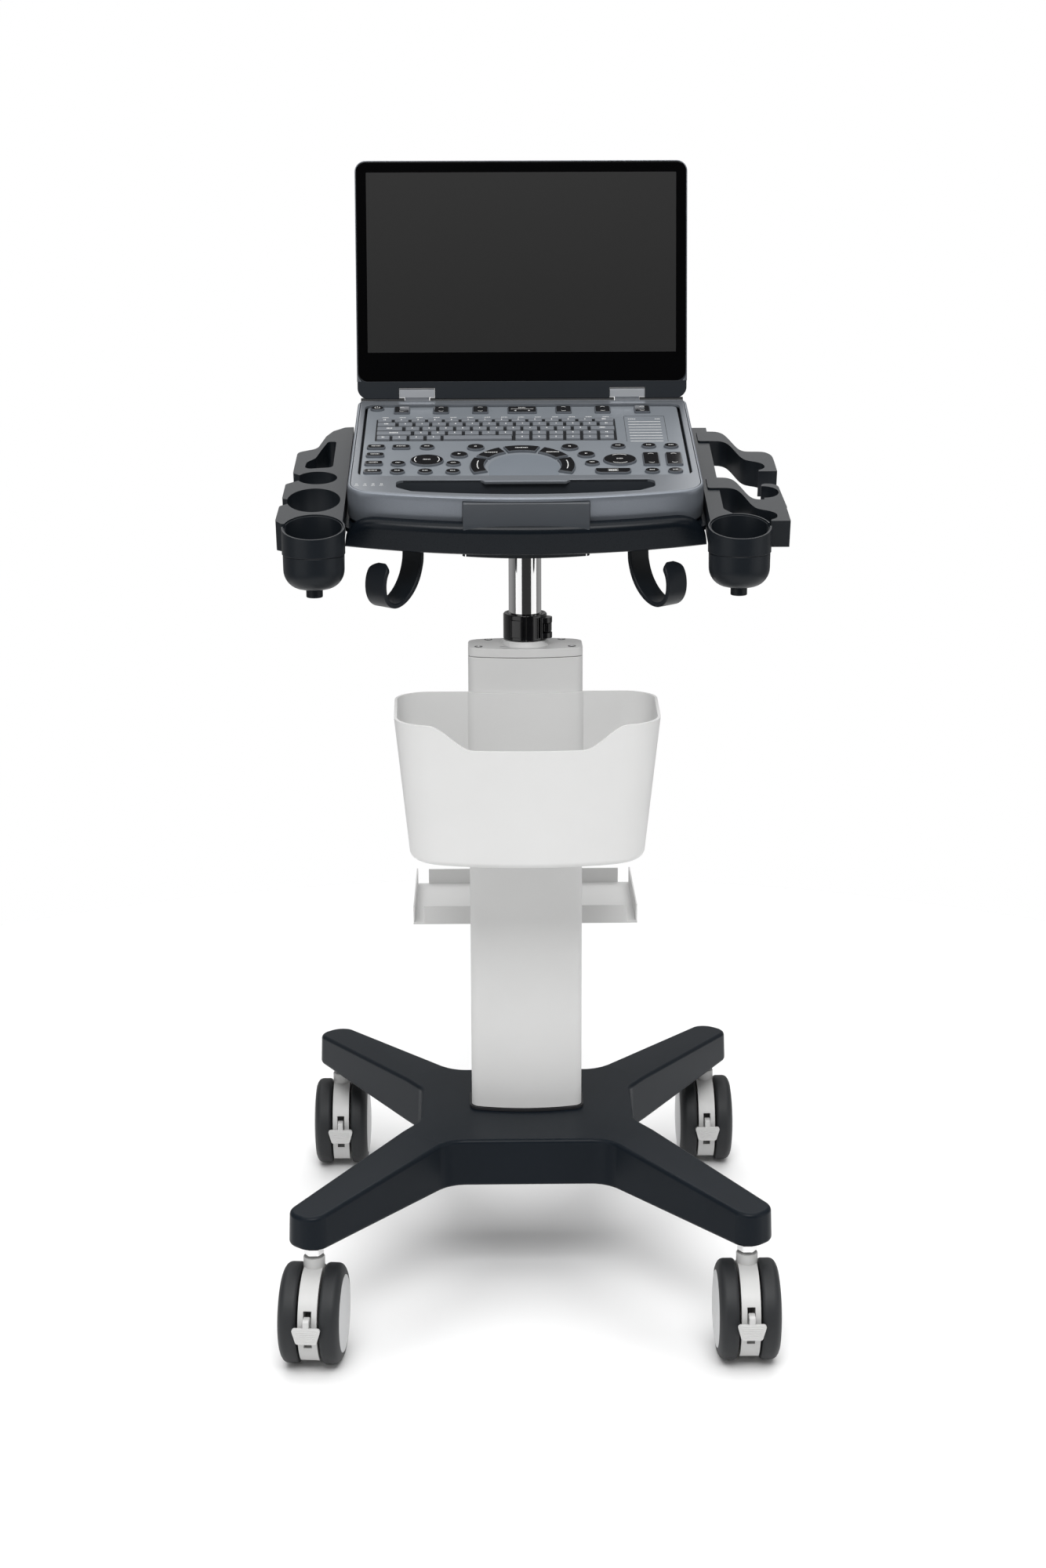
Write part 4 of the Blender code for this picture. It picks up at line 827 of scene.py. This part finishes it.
def make_right_holder(mats):
    plan = [(RAIL_INNER, -0.04, 0), (RAIL_INNER, -0.318, 0.006), (0.24, -0.318, 0.008)]
    plan += [(0.248, -0.3, 0.008), (0.215, -0.286, 0.01), (0.2035, -0.27, 0.01), (0.2035, -0.04, 0)]
    arm_low, arm_high = HOLDER_BOTTOM + 0.004, HOLDER_TOP + 0.0005
    tools = []
    for name, offset in (("rear", 0.0), ("front", 0.1335)):
        seat = prism(rectangle(0.1912, -0.0848 - offset, 0.21, -0.0557 - offset), -0.0303, 0.01)
        tools.append(cut(seat, DECK))
        outline = [(x, y - offset) for x, y in softened(ARM_POINTS, SHARP_ARM_POINTS)]
        root_plan = rounded([(0.1915, -0.0845 - offset, 0.003), (0.2065, -0.0845 - offset, 0),
                             (0.2065, -0.056 - offset, 0), (0.1915, -0.056 - offset, 0.003)], 5)
        root = prism(root_plan, -0.03, arm_high)
        arm_tools = [joined(root, DECK)]
        if name == "front":
            bar = rounded([(0.248, -0.23, 0), (0.248, -0.207, 0.005), (0.2655, -0.207, 0.01),
                           (0.269, -0.27, 0), (0.248, -0.27, 0)], 8)
            notch = prism(ellipse((0.249, -0.2295), 0.0155, 0.0155), arm_low - 0.01, arm_high + 0.01)
            arm_tools += [joined(prism(bar, arm_low, arm_high), DECK), cut(notch, DECK)]
        deck_piece(name + "_arm_shell", prism(outline, arm_low, arm_high), mats["holder"],
                   stands_for=(name + "_cable_arm",), tools=arm_tools, edge=0.002)
    tools += cup_seat(1, RAIL_TOP) + cup_openings(1)
    deck_piece("arm_rail", prism(rounded(plan, 6), HOLDER_BOTTOM, RAIL_TOP), mats["holder"],
               stands_for=("right_rail",), tools=tools, edge=0.0012)


HOOK_PATH = [
    (0, 0.098), (0, 0.055), (0.0015, 0.042), (0.006, 0.029), (0.0135, 0.0175), (0.023, 0.009),
    (0.033, 0.0045), (0.0415, 0.0045), (0.0485, 0.009), (0.0525, 0.0165), (0.0535, 0.026),
    (0.052, 0.035), (0.048, 0.0425), (0.043, 0.0465),
]


def spline(points, per_span):
    """Catmull-Rom curve through the points."""
    padded = [points[0]] + list(points) + [points[-1]]
    result = []
    for a, b, c, d in zip(padded, padded[1:], padded[2:], padded[3:]):
        for k in range(per_span):
            t = k / per_span
            result.append(tuple(
                0.5 * (2 * b[i] + (c[i] - a[i]) * t + (2 * a[i] - 5 * b[i] + 4 * c[i] - d[i]) * t * t
                       + (3 * b[i] - a[i] - 3 * c[i] + d[i]) * t ** 3)
                for i in range(len(b))
            ))
    result.append(tuple(points[-1]))
    return result


def hook_mesh():
    path = [Vector(point) for point in spline(HOOK_PATH, 5)]
    rings = []
    total = len(path) - 1
    for k, point in enumerate(path):
        along = (path[min(k + 1, total)] - path[max(k - 1, 0)]).normalized()
        side = Vector((-along.y, along.x))
        to_tip = (path[-1] - point).length
        half = 0.0145 - 0.0085 * (1 - min(1.0, to_tip / 0.009)) ** 2
        thick = 0.0025
        section = rectangle(-half, -thick, half, thick, 0.0014, 4)
        rings.append([(point.x + side.x * b, a, point.y + side.y * b) for a, b in section])
    return loft(rings)


def make_hooks(mats):
    for name, side, turn in (("left", -1, 225), ("right", 1, -45)):
        at = Matrix.Translation((side * 0.118, -0.036, 0.754)) @ Matrix.Rotation(radians(turn), 4, "Z")
        cutter = box(-0.2, 0.2, -0.3, -0.15, -0.0438, 0.02)
        piece(name + "_hook_band", hook_mesh(), mats["holder"], "carriage", at,
              stands_for=(name + "_cable_hook",), tools=[cut(cutter, DECK)])


# ---- console
def console_plan(inset, front_inset):
    half = CONSOLE_HALF - inset
    radii = (max(0.004, 0.009 - inset), 0.026 - front_inset)
    front = front_inset - CONSOLE_SIDE
    return bowed_outline(half - 0.0012, half, -inset, front, 0, CONSOLE_BULGE, radii, 40)


def ring_at(inset, height):
    return [(x, y, height) for x, y in console_plan(inset, inset)]


def make_console(mats):
    low = -CONSOLE_HEIGHT
    rings = []
    for step in range(6):
        angle = radians(90 * step / 5)
        rings.append(ring_at(0.005 * (1 - sin(angle)) + 0.0003, low + 0.005 * (1 - cos(angle))))
    rings += [ring_at(0.0, low + 0.014), ring_at(0.0, -0.006), ring_at(0.0003, -0.0022)]
    rings += [ring_at(0.0008, -0.001), ring_at(0.0016, -0.0003), ring_at(0.0026, 0)]
    cavity = prism(console_plan(0.003, 0.003), low + 0.0025, 0.01)
    edge = 0.004
    half = LUG_HALF + 0.0005
    notch = [(-half - edge, low - 0.01)]
    notch += arc((-half - edge, low + edge), edge, -90, 0, 8) + [(-half, -0.004), (half, -0.004)]
    notch += arc((half + edge, low + edge), edge, 180, 270, 8) + [(half + edge, low - 0.01)]
    deck_piece("console_shell", loft(rings), mats["silver"], stands_for=("console_base",),
               tools=[cut(cavity, DECK), cut(prism_y(notch, -0.3, -0.2798), DECK)],
               edge=0.0004, segments=1)

    top = [ring_at(0.0034, -0.0034), ring_at(0.0034, -0.0006), ring_at(0.0039, -0.0001), ring_at(0.0046, 0)]
    slot = slot_outline(SLOT_HALF, -0.234, -0.253, 0, 0.007)
    slot += [(0.046, -0.234, 0), (0.0425, -0.2385, 0), (-0.0425, -0.2385, 0), (-0.046, -0.234, 0)]
    window = rectangle(-0.1748, -0.2218, 0.1748, -0.0125, 0.01, 10)
    tools = [
        cut(prism(rounded(slot, 8), -0.05, 0.01), DECK),
        cut(prism(window, -0.01, 0.01), DECK),
    ]
    deck_piece("console_deck", loft(top), mats["deck"], stands_for=("console_frame",), tools=tools,
               edge=0.0006, segments=2)
    make_slot(mats)


def slot_outline(half, rear, front, grow, radius):
    """Finger slot behind the handle bar, whose front edge follows the console's bow."""
    corners = [(-half, rear, radius), (-half, front, radius)]
    for k in range(25):
        x = -0.118 + 0.236 * k / 24
        corners.append((x, -(CONSOLE_SIDE - 0.0125) - bow(x, CONSOLE_HALF, CONSOLE_BULGE) - grow, 0))
    corners += [(half, front, radius), (half, rear, radius)]
    return corners


def make_slot(mats):
    """Walls and floor of the finger pocket behind the front handle bar."""
    outer = slot_outline(SLOT_HALF + 0.0025, -0.2318, -0.2555, 0.0022, 0.008)
    inner = slot_outline(SLOT_HALF + 0.0002, -0.234, -0.253, 0, 0.007)
    tools = [cut(prism(rounded(inner, 8), -0.0335, 0.01), DECK)]
    deck_piece("handle_pocket", prism(rounded(outer, 8), -0.0352, -0.0008), mats["pocket"], tools=tools)


def make_panel(mats):
    # Near-black plate under the panel: painted shade that darkens the gap round its edge
    bed = rectangle(-0.1765, -0.225, 0.1765, -0.01, 0.01, 6)
    deck_piece("panel_gap_shade", prism(bed, -0.0092, -0.0086), mats["cavity"])
    corners = ((-0.1728, -0.2235), (0.1728, -0.2235), (0.1722, -0.0118), (-0.1722, -0.0118))
    plan = rounded([(x, y, 0.006) for x, y in corners], 8)
    deck_piece("panel_plate", prism(plan, -0.006, PANEL_TOP), mats["panel"],
               stands_for=("control_panel", "keyboard"), edge=0.0006, segments=2)
    front_lip = rectangle(-0.1722, -0.2262, 0.1722, -0.22, 0.001, 3)
    deck_piece("panel_front_lip", prism(front_lip, -0.005, -0.0029), mats["deck"], edge=0.0009)


# ---- keys and marks
def key(mats, name, outline, x, s, body="carriage", stands_for=()):
    """Rubber skirt with a glossy black cap, both from one outline about the key's middle."""
    at = DECK @ Matrix.Translation((x, -s, 0))
    skirt = [(0.0014, -0.006), (0.00095, -0.002), (0.0005, -0.0012)]
    cap = [(0, -0.0014), (0, KEY_TOP - 0.0002), (-0.0003, KEY_TOP)]
    for part, levels, material, nodes in (("_skirt", skirt, "skirt", stands_for), ("_cap", cap, "black", ())):
        rings = stacked([(scaled(outline, grow) if grow else outline, height) for grow, height in levels])
        piece(name + part, loft(rings), mats[material], body, at, stands_for=nodes)


def scaled(outline, grow):
    """Offset a convex outline outwards by moving each point along its own normal."""
    count = len(outline)
    result = []
    area = sum(outline[k - 1][0] * outline[k][1] - outline[k][0] * outline[k - 1][1] for k in range(count))
    sign = 1 if area > 0 else -1
    for k in range(count):
        before = Vector(outline[k - 1])
        here = Vector(outline[k])
        after = Vector(outline[(k + 1) % count])
        first = (here - before).normalized()
        second = (after - here).normalized()
        normal = Vector((first.y + second.y, -first.x - second.x))
        if normal.length < 1e-9:
            normal = Vector((first.y, -first.x))
        normal.normalize()
        reach = grow / max(0.5, abs(normal.dot(Vector((first.y, -first.x)))))
        result.append((here.x + normal.x * reach * sign, here.y + normal.y * reach * sign))
    return result


def add_mark(bm, outline, height=KEY_TOP):
    add_loft(bm, stacked([(outline, height - 0.00003), (outline, height + 0.00006)]))


def dashes(bm, x, s, width, height, level=KEY_TOP, pitch=0.0014):
    """A row of small upright bars: a plain stand-in for a printed legend."""
    count = max(1, int(width / pitch))
    start = x - count * pitch / 2
    for k in range(count):
        tall = height * (1.0 if (k * 7 + int(x * 1e4)) % 3 else 0.72)
        left = start + k * pitch
        add_mark(bm, [(left, -s - tall / 2), (left + pitch * 0.66, -s - tall / 2),
                      (left + pitch * 0.66, -s + tall / 2), (left, -s + tall / 2)], level)


def chevron(bm, x, s, half, rise, up):
    """Thin arc used as an up or down mark."""
    sign = 1 if up else -1
    outer = [(x - half, -s), (x - half * 0.5, -s + sign * rise * 0.8), (x, -s + sign * rise)]
    outer += [(x + half * 0.5, -s + sign * rise * 0.8), (x + half, -s)]
    inner = [(px, py - sign * 0.0007) for px, py in reversed(outer)]
    add_mark(bm, outer + inner)


def ring_arc(bm, x, s, radius, start, end, thick=0.0008):
    outer = arc((x, -s), radius, start, end, 16)
    inner = arc((x, -s), radius - thick, end, start, 16)
    add_mark(bm, outer + inner)


PILLS = [(-0.1587, 0.1354), (-0.1318, 0.1358), (-0.159, 0.1584), (-0.1596, 0.1817), (-0.1599, 0.2046)]
OVALS = [
    (-0.104, 0.136), (-0.1338, 0.1828), (-0.134, 0.2049), (-0.1048, 0.2053), (-0.0758, 0.2057),
    (0.101, 0.136), (0.134, 0.135), (0.158, 0.1356), (0.1336, 0.206), (0.158, 0.2057),
    (0.0714, 0.1836), (-0.0753, 0.1835),
]
ROUNDS = [(-0.0519, 0.1376), (-0.0694, 0.1589), (0.049, 0.1383), (0.0659, 0.1594)]
TOP_ROCKERS = [-0.134, -0.0905, -0.047, 0.0455, 0.089, 0.133]


def make_fixed_keys(mats):
    """Pill, oval and round keys and the upper rockers, which have no joint."""
    marks = bmesh.new()
    for k, (x, s) in enumerate(PILLS):
        key(mats, "pill_key_%d" % k, rectangle(-0.0088, -0.0042, 0.0088, 0.0042, 0.0022, 6), x, s)
        dashes(marks, x, s, 0.011, 0.0017)
    for k, (x, s) in enumerate(OVALS):
        key(mats, "oval_key_%d" % k, ellipse((0, 0), 0.007, 0.0055, 40), x, s)
        dashes(marks, x, s, 0.0058, 0.0017)
    for k, (x, s) in enumerate(ROUNDS):
        key(mats, "round_key_%d" % k, ellipse((0, 0), 0.0084, 0.007, 44), x, s)
        dashes(marks, x, s, 0.0036, 0.0024)
    for k, x in enumerate(TOP_ROCKERS):
        s = 0.0255
        key(mats, "top_rocker_%d" % k, rectangle(-0.0078, -0.0086, 0.0078, 0.0086, 0.0012, 4), x, s)
        chevron(marks, x, s - 0.005, 0.0026, 0.0014, True)
        chevron(marks, x, s + 0.0056, 0.0026, 0.0014, False)
    deck_piece("key_marks", marks, mats["mark"])


def arc_key_outline(start, end, inner, outer, steps=14):
    return arc((0, 0), outer, start, end, steps) + arc((0, 0), inner, end, start, steps)


RING = (-0.0023, 0.19)
ARC_KEYS = {
    "ring_left": (158, 202), "ring_upper_left": (117, 150), "ring_top": (71, 110),
    "ring_upper_right": (30, 64), "ring_right": (-22, 22),
}


def make_ring_keys(mats):
    x, s = RING
    marks = bmesh.new()
    for name, (start, end) in ARC_KEYS.items():
        outline = arc_key_outline(start, end, 0.0412, 0.0548)
        key(mats, name, outline, x, s)
        if name in ("ring_left", "ring_right"):
            ring_arc(marks, x, s, 0.0484, start + 8, end - 8, 0.0009)
        else:
            middle = radians((start + end) / 2)
            dashes(marks, x + 0.048 * cos(middle), s - 0.048 * sin(middle), 0.015, 0.0022)
    deck_piece("ring_marks", marks, mats["mark"])
    deck_piece("track_surface", prism(trackpad_outline(), -0.006, PANEL_TOP + 0.0004), mats["pad"],
               stands_for=("trackpad",), edge=0.0003, segments=1)


def trackpad_outline():
    middle = -0.001
    points = [(middle - 0.036, -0.22), (middle + 0.036, -0.22)]
    for k in range(33):
        angle = radians(-8 + 196 * k / 32)
        points.append((middle + 0.0375 * cos(angle), -0.1905 + 0.035 * sin(angle)))
    return points


def make_moving_keys(mats):
    places = {
        "power_button": ((-0.1615, 0.02), ellipse((0, 0), 0.0067, 0.0052, 40)),
        "menu_key": ((-0.0005, 0.0262), rectangle(-0.0152, -0.0082, 0.0152, 0.0082, 0.0012, 4)),
        "angle_key": ((-0.1035, 0.1745), ellipse((0, 0), 0.0168, 0.014, 72)),
        "gain_key": ((0.101, 0.1745), ellipse((0, 0), 0.0168, 0.014, 72)),
        "freeze_key": ((0.0925, 0.207), rounded([(-0.018, -0.005, 0.006), (0.018, -0.005, 0.006),
                                                  (0.018, 0.006, 0.0012), (-0.018, 0.006, 0.0012)], 8)),
        "left_rocker": ((0.1343, 0.173), rectangle(-0.0078, -0.0162, 0.0078, 0.0162, 0.0014, 4)),
        "right_rocker": ((0.1587, 0.173), rectangle(-0.0078, -0.0162, 0.0078, 0.0162, 0.0014, 4)),
    }
    for name, ((x, s), outline) in places.items():
        key(mats, name + "_top", outline, x, s, name, (name,))
        marks = bmesh.new()
        if name == "power_button":
            ring_arc(marks, x, s, 0.0031, 125, 415, 0.0006)
            add_mark(marks, [(x - 0.0003, -s + 0.0006), (x + 0.0003, -s + 0.0006),
                             (x + 0.0003, -s + 0.0036), (x - 0.0003, -s + 0.0036)])
        elif name == "angle_key":
            ring_arc(marks, x, s, 0.0135, 148, 212)
            ring_arc(marks, x, s, 0.0135, -32, 32)
            dashes(marks, x, s, 0.0085, 0.002)
        elif name == "gain_key":
            ring_arc(marks, x, s, 0.0125, 52, 128)
            ring_arc(marks, x, s, 0.0125, 232, 308)
            dashes(marks, x, s, 0.007, 0.002)
        elif name == "freeze_key":
            add_mark(marks, rectangle(x - 0.0055, -s - 0.0022, x + 0.0055, -s - 0.0015, 0))
            add_mark(marks, rectangle(x - 0.0055, -s + 0.0021, x + 0.0055, -s + 0.0028, 0))
            dashes(marks, x, s, 0.0085, 0.0022)
        elif name == "menu_key":
            add_mark(marks, rectangle(x - 0.0125, -s - 0.0002, x + 0.0125, -s + 0.0004, 0))
            dashes(marks, x, s - 0.0042, 0.0085, 0.002)
            add_mark(marks, [(x - 0.009, -s - 0.0048), (x - 0.0066, -s - 0.0064), (x - 0.0066, -s - 0.0032)])
            add_mark(marks, [(x + 0.009, -s - 0.0048), (x + 0.0066, -s - 0.0032), (x + 0.0066, -s - 0.0064)])
        else:
            chevron(marks, x, s - 0.0115, 0.003, 0.0015, True)
            chevron(marks, x, s + 0.012, 0.003, 0.0015, False)
        piece(name + "_mark", marks, mats["mark"], name, DECK)


def key_run(start, count):
    """Equal keys side by side, as (left, right)."""
    return [(start + KEY_PITCH * k, start + KEY_PITCH * k + KEY_WIDE) for k in range(count)]


def keyboard_rows():
    """For each row: its middle along the deck and its keys as (left, right)."""
    left, right = -0.159, 0.0992
    bottom = [(left + 0.0005, -0.1454), (-0.1417, -0.127), (-0.1232, -0.1088), (-0.1046, -0.0903)]
    bottom.append((-0.0864, -0.0132))
    return [
        (0.0572, key_run(left, 13) + [(0.0793, right)]),
        (0.0696, [(left, -0.1404)] + key_run(-0.136, 13)),
        (0.0828, [(left, -0.1325)] + key_run(-0.1281, 11) + [(0.0738, right)]),
        (0.0962, [(left, -0.1227)] + key_run(-0.1184, 12)),
        (0.1092, bottom + key_run(-0.0086, 6)),
    ]


def make_keyboard(mats):
    """Dark well, raised key tops and small light marks; the space bar has no mark."""
    well = rectangle(-0.161, -0.115, 0.1012, -0.051, 0.0012, 3)
    deck_piece("keyboard_well", prism(well, -0.0042, PANEL_TOP + 0.0001), mats["key_gap"])
    keys, marks = bmesh.new(), bmesh.new()
    half = 0.0089 / 2
    levels = ((0.0004, PANEL_TOP), (0.0002, -0.0014), (-0.0004, -0.001))
    for row, (s, spans) in enumerate(keyboard_rows()):
        for number, (x0, x1) in enumerate(spans):
            add_loft(keys, stacked([
                (rectangle(x0 - grow, -s - half - grow, x1 + grow, -s + half + grow, 0.0007, 2), height)
                for grow, height in levels
            ]))
            if (row, number) == SPACE_BAR:
                continue
            wide = min(0.012, 0.3 * (x1 - x0)) if number in (0, len(spans) - 1) else 0.003
            dashes(marks, (x0 + x1) / 2, s, wide, 0.003, -0.001, 0.0016)
    for k in range(14):
        dashes(marks, -0.1513 + 0.0187 * k, 0.0445, 0.007, 0.0018, PANEL_TOP + 0.00002)
    deck_piece("keyboard_keys", keys, mats["keycap"])
    deck_piece("keyboard_marks", marks, mats["mark"])


def make_side_panel(mats):
    """Thin outlined field with eight light lines to the right of the keyboard."""
    lines, frame = bmesh.new(), bmesh.new()
    level = PANEL_TOP + 0.00002
    for k in range(8):
        s = 0.06 + 0.0083 * k
        add_mark(lines, rectangle(0.1155, -s - 0.0005, 0.151, -s + 0.0005, 0), level)
    dashes(lines, 0.1202, 0.0518, 0.0085, 0.002, level)
    dashes(lines, 0.1484, 0.0518, 0.006, 0.002, level)
    for x in (0.1115, 0.156):
        add_mark(frame, rectangle(x - 0.0002, -0.119, x + 0.0002, -0.0432, 0), level)
    add_mark(frame, rectangle(0.1115, -0.0436, 0.156, -0.043, 0), level)
    for k in range(4):
        dashes(lines, -0.1745 + 0.0085 * k, 0.244, 0.003, 0.0016, 0.00002)
        dashes(lines, -0.1745 + 0.0085 * k, 0.248, 0.0042, 0.001, 0.00002)
    deck_piece("side_panel_lines", lines, mats["mark"])
    deck_piece("side_panel_frame", frame, mats["key_gap"])


# ---- lid
def lid_slab(half, low, high, front, back, radius):
    """Upright plate with front and back measured from the plane of the glass."""
    return prism_y(rectangle(-half, low, half, high, radius, 12), -LID_FRONT + front, -LID_FRONT + back)


def make_lid(mats):
    tools = [cut(lid_slab(0.1832, 0.0124, 0.2529, -0.005, 0.0014, 0.0108), LID)]
    notches = mirrored_boxes(0.0978, 0.1377, -0.02, 0.02, LID_LOW - 0.01, 0.0053)
    tools += [cut(notch, LID) for notch in notches]
    piece("lid_back", lid_slab(LID_HALF - 0.0004, LID_LOW, LID_HIGH - 0.0004, 0.0001, LID_THICK, 0.012),
          mats["lid"], "lid", LID, stands_for=("lid_cover",), tools=tools, edge=0.0012, segments=3)
    ring = [cut(lid_slab(0.1834, 0.01, 0.2531, -0.01, 0.02, 0.011), LID),
            cut(box(-0.2, 0.2, -0.03, 0.03, -0.05, 0.0124), LID)]
    piece("lid_rim", lid_slab(LID_HALF, 0.0, LID_HIGH, 0.0, 0.003, 0.012), mats["rim"], "lid", LID,
          tools=ring, edge=0.0003, segments=2)
    piece("glass_sheet", lid_slab(0.1829, 0.0126, 0.2527, 0.0002, 0.0013, 0.0105), mats["glass"], "lid", LID,
          stands_for=("lid_glass", "display_panel"), edge=0.0003, segments=2)
    lit_area = lid_slab(0.1721, 0.0444, 0.2414, 0.00014, 0.0006, 0.0006)
    piece("display_area", lit_area, mats["screen"], "lid", LID)


def make_lid_ledge(mats):
    """Dark ledge on the console's rear wall that closes the gap under the lid."""
    ledge = [(-0.0004, -0.003), (0.0085, -0.003), (0.0098, -0.002), (0.0125, -0.0014), (0.013, -0.004)]
    ledge += [(0.013, -0.015), (-0.0004, -0.024)]
    half = CONSOLE_HALF - 0.004
    tools = [cut(gap, DECK) for gap in mirrored_boxes(0.1035, 0.132, 0.0004, 0.02, -0.03, 0.01)]
    deck_piece("lid_ledge", prism_x(ledge, -half, half), mats["slate"], tools=tools, edge=0.0006, segments=2)


CARRIED_OVER = {
    "column_gasket": "rubber", "left_hinge": "hinge", "right_hinge": "hinge", "gas_spring_body": "black",
    "gas_spring_rod": "chrome", "main_board": "board", "battery": "black",
}


def dress(node, material):
    """Give a carried-over CAD node its finished material."""
    if not node.material_slots:
        node.data.materials.append(material)
    for slot in node.material_slots:
        slot.link = "OBJECT"
        slot.material = material


# ---- studio
def make_floor():
    """A round white floor with a soft rolled-down edge."""
    bm = lathe([(0, -0.0004), (1.4, -0.0004), (1.5, -0.004), (1.5, -0.02), (0, -0.02)], 128)
    material = surface("floor_paper", (0.9, 0.9, 0.9), 0.6, grain=0.0, mottle=0.002, specular=0.1)
    to_object("studio_floor", bm, material)


def area_light(name, at, aim, width, height, power):
    data = bpy.data.lights.new(name, "AREA")
    data.shape = "RECTANGLE"
    data.size = width
    data.size_y = height
    data.energy = power
    light = bpy.data.objects.new(name, data)
    light.location = at
    light.rotation_euler = (Vector(aim) - Vector(at)).to_track_quat("-Z", "Y").to_euler()
    bpy.context.scene.collection.objects.link(light)


def overhead_sun():
    data = bpy.data.lights.new("overhead_light", "SUN")
    data.energy = 2.0
    data.angle = radians(75)
    light = bpy.data.objects.new("overhead_light", data)
    light.location = (0, 0, 3)
    bpy.context.scene.collection.objects.link(light)


def make_world():
    """White behind the object; what lights and mirrors in it is dim in front and brighter behind."""
    world = bpy.data.worlds.new("studio")
    world.use_nodes = True
    nodes, links = world.node_tree.nodes, world.node_tree.links
    place = nodes.new("ShaderNodeTexCoord")
    axes = nodes.new("ShaderNodeSeparateXYZ")
    links.new(place.outputs["Generated"], axes.inputs["Vector"])
    room = nodes.new("ShaderNodeMapRange")
    room.interpolation_type = "SMOOTHSTEP"
    room.inputs["From Min"].default_value = -0.9
    room.inputs["From Max"].default_value = 0.6
    room.inputs["To Min"].default_value = ROOM_FRONT
    room.inputs["To Max"].default_value = ROOM_BACK
    links.new(axes.outputs["Y"], room.inputs["Value"])
    ray = nodes.new("ShaderNodeLightPath")
    choice = nodes.new("ShaderNodeMix")
    choice.data_type = "FLOAT"
    links.new(ray.outputs["Is Camera Ray"], choice.inputs["Factor"])
    links.new(room.outputs["Result"], choice.inputs["A"])
    choice.inputs["B"].default_value = 1.0
    links.new(choice.outputs["Result"], nodes["Background"].inputs["Strength"])
    nodes["Background"].inputs["Color"].default_value = (1, 1, 1, 1)
    bpy.context.scene.world = world


def make_studio():
    make_floor()
    make_world()
    overhead_sun()
    area_light("front_soft_box", (0, -2.7, 3.3), (0, 0, 0.6), 2.6, 1.4, 95)
    area_light("back_soft_box", (0, 2.6, 3.0), (0, 0, 0.8), 3.0, 1.6, 26)
    area_light("left_soft_box", (-1.75, -1.65, 0.95), (0, 0, 0.7), 2.1, 2.0, 16)
    area_light("right_soft_box", (2.15, -1.00, 0.95), (0, 0, 0.7), 1.9, 2.0, 14)
    bpy.context.scene.view_settings.view_transform = "Standard"


def make_camera():
    data = bpy.data.cameras.new("camera")
    data.lens = CAMERA_LENS
    data.sensor_width = 36
    camera = bpy.data.objects.new("camera", data)
    turn = Matrix.Rotation(CAMERA_YAW, 4, "Z") @ Matrix.Rotation(pi / 2 - CAMERA_DOWN, 4, "X")
    camera.matrix_world = Matrix.Translation(CAMERA_AT) @ turn @ Matrix.Rotation(CAMERA_ROLL, 4, "Z")
    bpy.context.scene.collection.objects.link(camera)
    bpy.context.scene.camera = camera


def main():
    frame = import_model()
    make_camera()
    make_studio()
    mats = make_materials()
    make_base(mats)
    for name, (x, y, yaw) in CASTERS.items():
        make_caster(mats, name, x, y, yaw)
    make_column(mats)
    make_clamp(mats)
    make_basket(mats)
    make_shelf(mats)
    make_platform(mats)
    make_left_holder(mats)
    make_right_holder(mats)
    make_gel_cup(mats, "left_gel_cup", -1, HOLDER_TOP - 0.0012)
    make_gel_cup(mats, "right_gel_cup", 1, RAIL_TOP - 0.0012)
    make_hooks(mats)
    make_console(mats)
    make_panel(mats)
    make_fixed_keys(mats)
    make_ring_keys(mats)
    make_moving_keys(mats)
    make_keyboard(mats)
    make_side_panel(mats)
    make_lid(mats)
    make_lid_ledge(mats)
    for node, finish in CARRIED_OVER.items():
        dress(frame["nodes"][node], mats[finish])


main()
